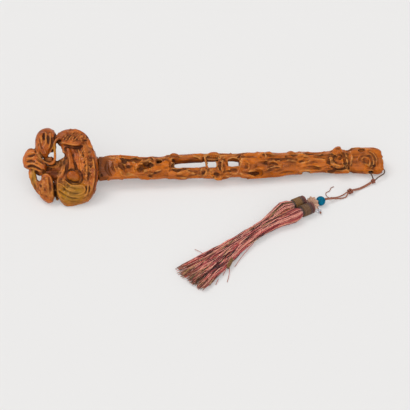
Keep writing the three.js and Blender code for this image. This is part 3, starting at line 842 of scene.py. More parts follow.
class Clay:
    """Wood as a field of distances: u runs along it, t up the picture and d to the camera."""

    def __init__(self, node: str, pitch: float) -> None:
        """Takes the form of a frame node.

        Args:
            node: the node's name.
            pitch: the spacing of the field.
        """
        self.pitch = pitch
        points, _ = self.triangles(node)
        self.low = points.min(axis=0) - BAND_MARGIN
        self.shape = tuple(np.ceil((points.max(axis=0) + BAND_MARGIN - self.low) / pitch).astype(int) + 1)
        self.field = self.distances(node)

    @staticmethod
    def triangles(node: str) -> tuple[np.ndarray, np.ndarray]:
        """Reads the triangles of a frame node.

        Args:
            node: the node's name.

        Returns:
            Their corners in the carving frame, and the triangles as corner numbers.
        """
        mesh = frame["nodes"][node].data
        corners = np.empty(len(mesh.vertices) * 3, dtype=np.float32)
        mesh.vertices.foreach_get("co", corners)
        mesh.calc_loop_triangles()
        faces = np.empty(len(mesh.loop_triangles) * 3, dtype=np.int32)
        mesh.loop_triangles.foreach_get("vertices", faces)
        return (corners.reshape(-1, 3) / MM - AXIS_PLACE) @ TURN, faces.reshape(-1, 3)

    def distances(self, node: str) -> np.ndarray:
        """Finds the distances to a frame node's surface on this field's grid.

        Args:
            node: the node's name.

        Returns:
            The distances, negative inside.
        """
        points, faces = self.triangles(node)
        cells = ((points - self.low) / self.pitch).astype(np.float32)
        grid = openvdb.FloatGrid.createLevelSetFromPolygons(
            cells, triangles=faces.astype(np.uint32), halfWidth=BAND_CELLS
        )
        field = np.empty(self.shape, dtype=np.float32)
        grid.copyToArray(field)
        return field * self.pitch

    def soften(self, passes: int) -> None:
        """Rounds the frame's facets off.

        Args:
            passes: how often each cell is mixed with its neighbours.
        """
        for axis in list(range(3)) * passes:
            beside = np.roll(self.field, 1, axis) + np.roll(self.field, -1, axis)
            self.field = 0.5 * self.field + 0.25 * beside

    def sample(self, points: np.ndarray) -> np.ndarray:
        """Looks the field up.

        Args:
            points: places of the carving frame.

        Returns:
            The distance at each place.
        """
        cells = np.clip((points - self.low) / self.pitch, 0, np.array(self.shape) - 1.01)
        base = cells.astype(int)
        part = cells - base
        total = np.zeros(len(points))
        for corner in product((0, 1), repeat=3):
            weight = np.prod(np.where(corner, part, 1 - part), axis=1)
            total += weight * self.field[tuple((base + corner).T)]
        return total

    def drape(self, starts: np.ndarray, toward: np.ndarray) -> np.ndarray:
        """Moves places along a direction until they meet the wood.

        Args:
            starts: the places.
            toward: the direction.

        Returns:
            Where they meet it.
        """
        points = np.array(starts, dtype=float)
        for _ in range(FALL_STEPS):
            points = points + FALL_SHARE * np.maximum(self.sample(points), 0)[:, None] * toward
        return points

    def sweep(self, centres: np.ndarray, radii: np.ndarray) -> tuple[tuple[slice, ...], np.ndarray]:
        """Distances to a row of balls, in the part of the grid near them.

        Args:
            centres: the balls' middles.
            radii: their radii.

        Returns:
            The part of the grid, and the distances there.
        """
        reach = radii.max() + BALL_ROOM
        first = np.floor((centres.min(axis=0) - reach - self.low) / self.pitch)
        first = np.clip(first, 0, None).astype(int)
        last = np.ceil((centres.max(axis=0) + reach - self.low) / self.pitch).astype(int) + 1
        last = np.maximum(np.minimum(last, self.shape), first)
        tool = np.full(last - first, FAR_OFF, dtype=np.float32)
        axes = [self.low[k] + self.pitch * np.arange(first[k], last[k]) for k in range(3)]
        for centre, radius in zip(centres, radii):
            room = radius + BALL_ROOM
            window = tuple(
                slice(*np.searchsorted(axes[k], (centre[k] - room, centre[k] + room))) for k in range(3)
            )
            gaps = [(axes[k][window[k]] - centre[k]) ** 2 for k in range(3)]
            away = np.sqrt(gaps[0][:, None, None] + gaps[1][None, :, None] + gaps[2][None, None, :]) - radius
            np.minimum(tool[window], away, out=tool[window])
        return tuple(slice(a, b) for a, b in zip(first, last)), tool

    def add(self, centres: np.ndarray, radii: np.ndarray, blend: float = RAISE_BLEND) -> None:
        """Adds a row of balls to the wood."""
        window, tool = self.sweep(centres, radii)
        self.field[window] = smooth_least(self.field[window], tool, blend)

    def cut(self, centres: np.ndarray, radii: np.ndarray, blend: float = CUT_BLEND) -> None:
        """Takes a row of balls out of the wood."""
        window, tool = self.sweep(centres, radii)
        self.field[window] = -smooth_least(-self.field[window], tool, blend)

    def lay(self, stroke: Stroke) -> tuple[np.ndarray, np.ndarray]:
        """Finds the row of balls of a stroke, laid on the wood as it is now.

        Args:
            stroke: the stroke.

        Returns:
            The balls' middles and radii.
        """
        radius = stroke.radius
        absolute = len(stroke.path[0]) == 3
        places = stroke.path if absolute else [(u, t, TOP_START) for u, t in stroke.path]
        route = smooth_route(np.array(places), BALL_STEP * radius)
        order = np.arange(len(route))
        from_end = np.minimum(order, order[::-1]) * BALL_STEP * radius
        taper = np.clip(END_SHARE + END_RISE * from_end / (END_RADII * radius), END_SHARE, 1)
        if absolute:
            return route, radius * taper
        height = self.drape(route, TO_BACK)[:, 2]
        sound = height > np.median(height) - STROKE_DROP
        height = np.interp(order, order[sound], height[sound])
        width = min(len(route), LEVEL_BALLS)
        padded = np.pad(height, width // 2, mode="edge")
        height = np.convolve(padded, np.ones(width) / width, mode="valid")[: len(route)]
        if stroke.tool is Tool.RAISE:
            route[:, 2] = height + (stroke.depth - radius) * taper
            return route, radius * taper
        lowest = radius - stroke.depth
        levels = [lowest] if lowest >= 0 else np.linspace(lowest, 0, 2 + int(-2 * lowest / radius))
        stack = [np.column_stack([route[:, :2], height + level * taper]) for level in levels]
        return np.vstack(stack), np.tile(radius * taper, len(levels))

    def carve(self, strokes: list[Stroke]) -> None:
        """Makes strokes: first all that raise the wood, then all cuts.

        Args:
            strokes: the strokes.
        """
        for tool, work in ((Tool.RAISE, self.add), (Tool.CUT, self.cut)):
            laid = [self.lay(stroke) for stroke in strokes if stroke.tool is tool]
            for centres, radii in laid:
                work(centres, radii)

    def stud(self, studs: Studs) -> None:
        """Covers a patch of the front with small bosses.

        Args:
            studs: the patch.
        """
        rng = random.Random(studs.seed)
        corners = np.array(studs.outline)
        spacing = studs.spacing
        low, high = corners.min(axis=0), corners.max(axis=0)
        places = []
        for row, t in enumerate(np.arange(low[1], high[1], spacing * STUD_ROW)):
            for u in np.arange(low[0] + (row % 2) * spacing / 2, high[0], spacing):
                aside = rng.uniform(-STUD_SCATTER, STUD_SCATTER) * spacing
                aloft = rng.uniform(-STUD_SCATTER, STUD_SCATTER) * spacing
                if inside(studs.outline, u + aside, t + aloft):
                    places.append((u + aside, t + aloft, TOP_START))
        landed = self.drape(np.array(places), TO_BACK)
        landed = landed[landed[:, 2] > np.median(landed[:, 2]) - STUD_DROP]
        radii = np.array([studs.radius * rng.uniform(*STUD_SIZES) for _ in landed])
        landed[:, 2] += studs.height - radii
        self.add(landed, radii, STUD_BLEND)

    def scuff(self, count: int, draw: Callable[[random.Random], Mark]) -> None:
        """Leaves short, shallow gouge marks all over.

        Args:
            count: the number of marks.
            draw: draws a mark.
        """
        rng = random.Random(count)
        for _ in range(count):
            start, way, toward = draw(rng)
            radius = rng.uniform(*MARK_RADII)
            shares = np.linspace(0, 1, MARK_POINTS)
            landed = self.drape(start + shares[:, None] * way, toward)
            steps = np.linalg.norm(np.diff(landed, axis=0, prepend=landed[:1]), axis=1)
            sound = (self.sample(landed) < MARK_OFF) & (steps < MARK_JUMP)
            if sound.sum() < MARK_LEAST:
                continue
            bite = rng.uniform(*MARK_DEPTHS) * np.sin(math.pi * shares[sound]) ** 0.5
            centres = landed[sound] - toward * (radius - bite)[:, None]
            self.cut(centres, np.full(len(centres), radius))

    def gnarl(self, cell: Place, height: float, seed: int) -> None:
        """Raises winding ridges all over, like the veins and rolled edges of gnarled wood.

        Args:
            cell: the size of the pattern along u, t and d.
            height: how far the ridges stand proud of the hollows between them.
            seed: the seed of the pattern.
        """
        spans = [self.pitch * count / size for count, size in zip(self.shape, cell)]
        draws = np.random.default_rng(seed).standard_normal([int(span) + 3 for span in spans])
        pattern = draws.astype(np.float32)
        for axis in range(3):
            places = np.arange(self.shape[axis]) * self.pitch / cell[axis]
            base = places.astype(int)
            part = places - base
            part = (part * part * (3 - 2 * part)).reshape([-1 if k == axis else 1 for k in range(3)])
            pattern = np.take(pattern, base, axis) * (1 - part) + np.take(pattern, base + 1, axis) * part
        ridges = np.exp(-((pattern / GNARL_WIDTH) ** 2)) - GNARL_MEAN
        self.field = self.field - height * ridges.astype(np.float32)

    def keep_off(self, other: np.ndarray, gap: float) -> None:
        """Cuts the wood back to a gap from another piece's field."""
        self.field = np.maximum(self.field, gap - other)

    def rest(self) -> None:
        """Cuts off what would reach into the table."""
        axes = [self.low[k] + self.pitch * np.arange(self.shape[k]) for k in range(3)]
        shares = [TURN[2, k] * axes[k] for k in range(3)]
        height = shares[0][:, None, None] + shares[1][None, :, None] + shares[2][None, None, :]
        self.field = np.maximum(self.field, -(height + AXIS_PLACE[2])).astype(np.float32)

    @staticmethod
    def spread(spots: list[Spot], places: np.ndarray) -> np.ndarray:
        """How strongly spots of colour or of painted shade on the front cover places.

        Args:
            spots: the spots.
            places: the places.

        Returns:
            The strength at each place.
        """
        front = places[:, 2] > FRONT_LEAST
        total = np.zeros(len(places))
        for u, t, long, wide, strength in spots:
            away = np.hypot((places[:, 0] - u) / long, (places[:, 1] - t) / wide)
            total = np.maximum(total, strength * np.clip(SPOT_CORE - SPOT_FALL * away, 0, 1) * front)
        return total

    def piece(self, name: str, patches: list[Spot], shades: list[Spot], crease_shade: float) -> Object:
        """Makes the wood's mesh, with how sheltered, how ridged and how patched each place is.

        Args:
            name: the piece's name.
            patches: the spots of another colour; on the shaft also painted shade in hollows.
            shades: the spots of painted shade.
            crease_shade: how strongly shade is painted into the cuts.

        Returns:
            The object.
        """
        grid = openvdb.FloatGrid(BAND_CELLS)
        grid.copyFromArray(np.ascontiguousarray(self.field / self.pitch, dtype=np.float32))
        cells, quads = grid.convertToQuads(0.0)
        local = cells.astype(float) * self.pitch + self.low
        points = local @ TURN.T + AXIS_PLACE
        corners = points[quads[:, :3]]
        if np.einsum("ij,ij->i", corners[:, 0], np.cross(corners[:, 1], corners[:, 2])).sum() < 0:
            quads = quads[:, ::-1]
        obj = new_piece(name, points, quads.tolist())
        self.drop_islands(obj)
        refine(obj, "SMOOTH", factor=0.5, iterations=1)
        refine(obj, "DECIMATE", ratio=min(1.0, MOST_TRIANGLES / (2 * len(obj.data.polygons))))
        count = len(obj.data.vertices)
        places = np.empty(count * 3, dtype=np.float32)
        obj.data.vertices.foreach_get("co", places)
        places = (places.reshape(-1, 3) / MM - AXIS_PLACE) @ TURN
        normals = np.empty(count * 3, dtype=np.float32)
        obj.data.vertex_normals.foreach_get("vector", normals)
        normals = normals.reshape(-1, 3) @ TURN
        # Shelter, how closed in a place is, becomes painted shade; ridge becomes paler worn wood with a
        # painted highlight.
        shelter = sum(w * np.clip(1 - self.sample(places + normals * x) / x, 0, 1) for x, w in SHELTER_SCALES)
        ridge = sum(w * np.clip(1 + self.sample(places - normals * x) / x, 0, 1) for x, w in RIDGE_SCALES)
        painted_shade = np.maximum(crease_shade * shelter - CREASE_SHADE_START, self.spread(shades, places))
        give_values(
            obj,
            shelter=np.clip(painted_shade, 0, CREASE_SHADE_MOST),
            ridge=np.clip(RUB_HIGHLIGHT_GAIN * ridge - RUB_HIGHLIGHT_START, 0, RUB_HIGHLIGHT_MOST),
            patch=self.spread(patches, places),
        )
        obj.data.shade_smooth()
        return obj

    @staticmethod
    def drop_islands(obj: Object) -> None:
        """Deletes chips and closed bubbles that hang apart from the main form.

        Args:
            obj: the piece, whose lowest point is on the main form.
        """
        take(obj)
        lowest = min(vertex.co.z for vertex in obj.data.vertices)
        bpy.ops.object.mode_set(mode="EDIT")
        pick(obj, lambda co: co.z == lowest)
        bpy.ops.mesh.select_linked()
        bpy.ops.mesh.select_all(action="INVERT")
        bpy.ops.mesh.delete(type="VERT")
        bpy.ops.object.mode_set(mode="OBJECT")


HEAD_FILLS = [
    bead(2.4, 0, (-133, 30, 0.5), (-131.6, 25, 3), (-129.4, 18.8, 6.6), (-128, 12, 8.6)),
    bead(3.0, 0, (-178, 9.5, 3.5), (-172, 9, 2.5), (-167, 9, 2.5), (-163, 7, 1.5)),
    bead(2.6, 0, (-177, 12.6, 3), (-171, 12.6, 2.5), (-166, 12, 2.5)),
    bead(3.0, 0, (-163, 9, 2), (-158, 10.2, 3), (-154.5, 10.2, 6)),
    bead(2.8, 0, (-164, 5.5, 2), (-158, 6.2, 2.5), (-154.5, 6.5, 5)),
    bead(2.4, 0, (-177, 4.6, 5), (-171, 3.6, 4), (-165, 4.4, 3)),
    bead(3.0, 0, (-167.5, 33, 1), (-167.8, 29, 2.5), (-168.3, 24.5, 4), (-170.3, 20.5, 5)),
    bead(2.6, 0, (-167.2, 32, 1), (-166.8, 27, 2), (-167, 22, 3)),
    bead(3.2, 0, (-165.5, -8, 2), (-165.4, -16, 4), (-165, -25, 7), (-164, -32, 10)),
    bead(2.9, 0, (-188.8, 1.5, 5.6), (-188.5, -4, 6.4), (-187.7, -10, 8.2), (-186.2, -16, 11)),
    bead(2.6, 0, (-186.5, -8, 8), (-185.5, -14, 11), (-183.5, -18, 14)),
]
# The gouge's radius, its place and where it starts, for the holes that are cut right through the head.
THROUGH_HOLES = (
    (1.5, -162.3, 22.4, 16), (1.7, -162, 18.8, 16), (1.6, -161.6, 15.8, 16), (1.7, -161, 24.2, 16),
    (2.3, -160, 20.6, 16), (2.6, -159.6, 17.2, 16), (2.6, -158, 15.6, 16), (1.5, -168.4, 16.8, 16),
    (2.0, -182.3, -8.2, 26), (1.7, -182, -10.2, 26),
)
THROUGH_END = -34
HEAD_WINDOWS = [gouge(r, 0, (u, t, d), (u, t, THROUGH_END)) for r, u, t, d in THROUGH_HOLES]
DOME_VEINS = [
    gouge(0.75, 0.5, (u, 30.2), (u + 2.2, 34), (u + 5.4, 37.4), (u + 9, 39.4))
    for u in np.arange(-159.5, -141, 3.4)
]
DOME_VEINS += [
    gouge(0.7, 0.4, (u, 28.6), (u + 3, 30.6), (u + 6.4, 31.4)) for u in np.arange(-146.5, -133, 3.4)
]
STUD_ROWS = [
    bead(1.3, 0.6, (base - 0.008 * t * t, t), (base - 0.008 * t * t, t - 0.6))
    for base in (-134.1, -131.0)
    for t in np.arange(16, -20, -2.7)
]
HEAD_STROKES = [
    gouge(1.4, 2.6, (-177.5, 40), (-177.3, 36.5), (-176.5, 33)),
    gouge(1.3, 1.2, (-172.8, 38.5), (-172.3, 33), (-172.3, 28.5)),
    bead(0.98, 1.0, (-175.2, 41), (-175, 35), (-175, 29), (-177, 25)),
    bead(0.90, 0.9, (-170.5, 41), (-170.3, 35), (-170.5, 28), (-172.5, 22)),
    bead(0.90, 0.9, (-180.8, 39), (-179.8, 33), (-178.8, 28)),
    gouge(1.0, 0.7, (-182.5, 36), (-181.5, 30), (-180, 25), (-177.5, 20)),
    gouge(0.9, 0.6, (-168.5, 38), (-168, 31), (-169.5, 24), (-172, 18)),
    bead(1.12, 0.9, (-164.8, 36), (-165.3, 29), (-166.5, 23), (-168.5, 19)),
    gouge(0.8, 0.5, (-184, 30), (-182.5, 24), (-179, 18.5)),
    bead(0.85, 0.7, (-176.5, 22), (-175, 18), (-173, 15.5)),
    bead(1.3, 1.0, (-186, 24.5), (-184, 18), (-180.3, 12), (-176, 8)),
    bead(1.5, 0, (-177, 8.6, 10), (-171, 6.2, 9.2), (-167.5, 7.5, 8.6), (-165.8, 11, 8), (-165.4, 16, 7.2),
         (-165.6, 21.5, 6.6), (-166, 27, 5.2), (-164.3, 31.8, 3.2), (-160.5, 34.3, 3.2), (-156, 33.5, 5.2)),
    bead(1.1, 0.9, (-188, 9.5), (-181, 6.8), (-175, 4.6), (-169.5, 3.2), (-164.8, 2.6), (-161.8, 4.5),
         (-161.3, 9)),
    bead(4.0, 1.5, (-151.2, 21.5), (-149.8, 16), (-150.2, 10)),
    bead(2.8, 0.9, (-150.2, 12), (-149.2, 7), (-148.2, 2)),
    gouge(1.7, 1.6, (-144.4, 8), (-143.4, 3), (-142, -0.5)),
    gouge(1.5, 1.4, (-153, 5), (-152.6, 0.5), (-152.4, -4)),
    bead(9.5, 2.2, (-147.6, -7.6), (-143.8, -9.8)),
    gouge(0.9, 0.8, (-141.5, -0.5), (-136.9, -6), (-136.4, -12.5), (-140.5, -16.6), (-147, -16.4),
          (-153.6, -11.5)),
    gouge(0.9, 1.1, (-152.6, -4.4), (-149.5, -1.6), (-145, -1.8), (-141.5, -4)),
    gouge(0.9, 0.7, (-145.3, 18), (-145.6, 13), (-144.8, 8)),
    bead(0.9, 0.7, (-124.4, 11), (-123.8, 6), (-122.8, -2), (-123.6, -13), (-126.2, -24)),
    gouge(0.9, 0.45, (-123.8, 15), (-121.8, 6), (-120.9, -3), (-121.7, -13), (-124.6, -25)),
    gouge(0.7, 0.4, (-129.6, 16), (-129.4, 5), (-129.2, -5), (-130.4, -15)),
    gouge(1.4, 0.9, (-183, 21), (-179.8, 15), (-177, 12.5)),
    gouge(1.2, 0.9, (-185.5, 12.5), (-180, 8.5), (-176.5, 5.5)),
    bead(1.12, 1.1, (-195, 19.5), (-191, 18.5), (-187.5, 19.5)),
    bead(1.12, 1.1, (-196.2, 13), (-191.5, 12.8), (-187.5, 14.5)),
    bead(1.12, 1.1, (-196.5, 6), (-191, 7.3), (-186, 5.5), (-180.5, 2)),
    bead(0.90, 0.9, (-197, 2), (-191.5, 2.5), (-186, 0.5), (-181, -2)),
    gouge(1.3, 1.3, (-195.5, 16), (-191, 15.6), (-187.5, 17)),
    gouge(1.3, 1.3, (-196.5, 9.5), (-191, 10), (-187, 9.5)),
    gouge(1.3, 1.3, (-196, 3.8), (-190.5, 4.8), (-185, 2.8), (-180, -0.5)),
    gouge(1.6, 3.0, (-161.8, 31), (-159.3, 31.3)),
    bead(1.65, 0.5, (-174.5, -2), (-167.5, -2), (-160.5, -2)),
    bead(1.35, 0.9, (-186, -16), (-183.5, -22), (-180.5, -28), (-176, -32.5)),
    bead(1.12, 0.9, (-179, -6), (-174, -5.5), (-170.3, -9), (-168.5, -15), (-168, -24), (-168.5, -30)),
    gouge(1.7, 1.2, (-181, -17), (-180, -18.5)),
    gouge(1.7, 1.2, (-176.3, -21), (-175.8, -24)),
    gouge(1.7, 1.2, (-175.5, -28.5), (-174.5, -30)),
    gouge(0.9, 0.6, (-171.5, -9), (-170.5, -16), (-170, -25)),
    bead(0.98, 0.6, (-178, -11.5), (-178.5, -16), (-179.5, -22), (-177.5, -28)),
    bead(0.98, 0.6, (-173.5, -9), (-173, -16), (-172.5, -24), (-171.5, -31)),
    bead(1.20, 1.1, (-153.8, 12), (-153.3, 7), (-154.5, 1), (-157.5, -4.5), (-161.8, -10), (-162.8, -17),
         (-162, -25), (-159.5, -31), (-156, -35)),
    gouge(1.2, 0.8, (-151.8, 13), (-151.3, 6), (-152.3, 0), (-155.2, -6.5), (-159.3, -12)),
    bead(1.05, 1.0, (-160, 29.5), (-155, 28.5), (-149.5, 27.3), (-143, 26.3), (-137.5, 27.3)),
    gouge(1.7, 1.4, (-155.5, 26.5), (-150.5, 25), (-145, 23.8), (-139.5, 23.6), (-135.5, 25)),
    gouge(1.2, 0.9, (-154.8, 18), (-154, 11), (-153.8, 4), (-153.2, -3)),
    bead(1.05, 1.0, (-140.5, 21.5), (-138.3, 15), (-138.8, 9), (-137.8, 3), (-137.5, -4)),
    bead(0.98, 1.0, (-133.8, 22), (-136.5, 16.5), (-137.8, 12)),
    gouge(0.6, 0.4, (-152, -8), (-149.5, -5.2), (-146, -5.2), (-142.5, -8)),
    gouge(0.6, 0.4, (-150, -10.5), (-147, -7.8), (-143.5, -9), (-140.8, -12.3)),
    bead(0.9, 0.8, (-160, -11), (-153.5, -13.5), (-148.5, -18), (-142, -18.6), (-136, -18.8), (-133.2, -22.5),
         (-135.2, -26.4), (-140, -27.8), (-146, -27.6)),
    bead(0.85, 0.7, (-162, -15), (-156.5, -18.2), (-152, -22.4), (-146.5, -24.2), (-141.5, -23.6)),
    bead(0.8, 0.7, (-157, -14.2), (-152.4, -18.2), (-147.6, -21.4), (-143.5, -21.8)),
    bead(0.85, 0.6, (-162.5, -21), (-158, -24), (-152.5, -27.8), (-146.5, -30.4), (-139.8, -30.8),
         (-133.5, -28)),
    bead(0.85, 0.6, (-160.5, -27), (-155.5, -31.2), (-148, -33.6), (-140, -33.6)),
    gouge(0.8, 0.5, (-161, -13), (-154.5, -15.6), (-149.5, -19.8), (-143, -21.2), (-137.3, -21.7)),
    gouge(0.9, 0.6, (-162, -18), (-157, -20.8), (-151.5, -24.6), (-146, -26.7), (-139.5, -27)),
    gouge(0.9, 0.6, (-160.5, -24.5), (-155, -28.5), (-148.5, -31.6), (-141, -32.2)),
    bead(1.1, 0.9, (-130, -16.5), (-130.2, -22.5), (-132, -28), (-136, -31.6)),
    bead(0.9, 0.7, (-127.2, -17.5), (-127.4, -23.5), (-129, -28.5)),
    gouge(0.8, 0.6, (-128.6, -17.5), (-128.8, -24), (-130.8, -29.5)),
    *DOME_VEINS,
    *STUD_ROWS,
]
STUD_BAND = [
    (-137, 14), (-133, 21), (-129, 18), (-126, 8), (-125.5, -8), (-128, -17), (-134, -14), (-136, -4),
]
STUD_DOME = [
    (-157, 39), (-150, 42), (-140, 41.5), (-132, 36), (-130, 31), (-136, 29.5), (-147, 30.5), (-155, 32),
]
STUD_LOW_LEAF = [
    (-183, -14), (-178, -7), (-172, -8), (-170, -19), (-169, -29), (-173.5, -33), (-180, -28), (-184, -19),
]
HEAD_STUDS = [
    Studs(STUD_BAND, 2.7, 1.2, 0.8, 3),
    Studs(STUD_DOME, 3.1, 1.65, 1.2, 4),
    Studs(STUD_LOW_LEAF, 2.7, 1.2, 1.0, 5),
]
OLIVE_PATCHES = [
    (-148, -26, 19, 14, 0.85), (-166, 22, 2.5, 6, 0.7), (-189, -7, 3.5, 10, 0.85), (-181.5, 13, 3, 6, 0.35),
]
# Spots darkened as the cuts are: painted shade in the hollows round the leaves, the hook and the dome, and
# darker brown on the stem and the peach.
HEAD_SHADES = [
    (-166, -2.5, 7, 4, 0.6), (-171, 10, 5, 3, 0.45), (-159, 5, 3, 6, 0.5), (-160.5, 30.5, 3.5, 3.5, 0.6),
    (-166, -20, 2.4, 15, 0.55), (-184.5, -7, 2, 6, 0.4), (-175, -24, 5, 9, 0.34), (-160, 38, 4, 4, 0.3),
    (-149, 9, 4, 11, 0.22), (-145.5, -9, 6, 5, 0.2),
]

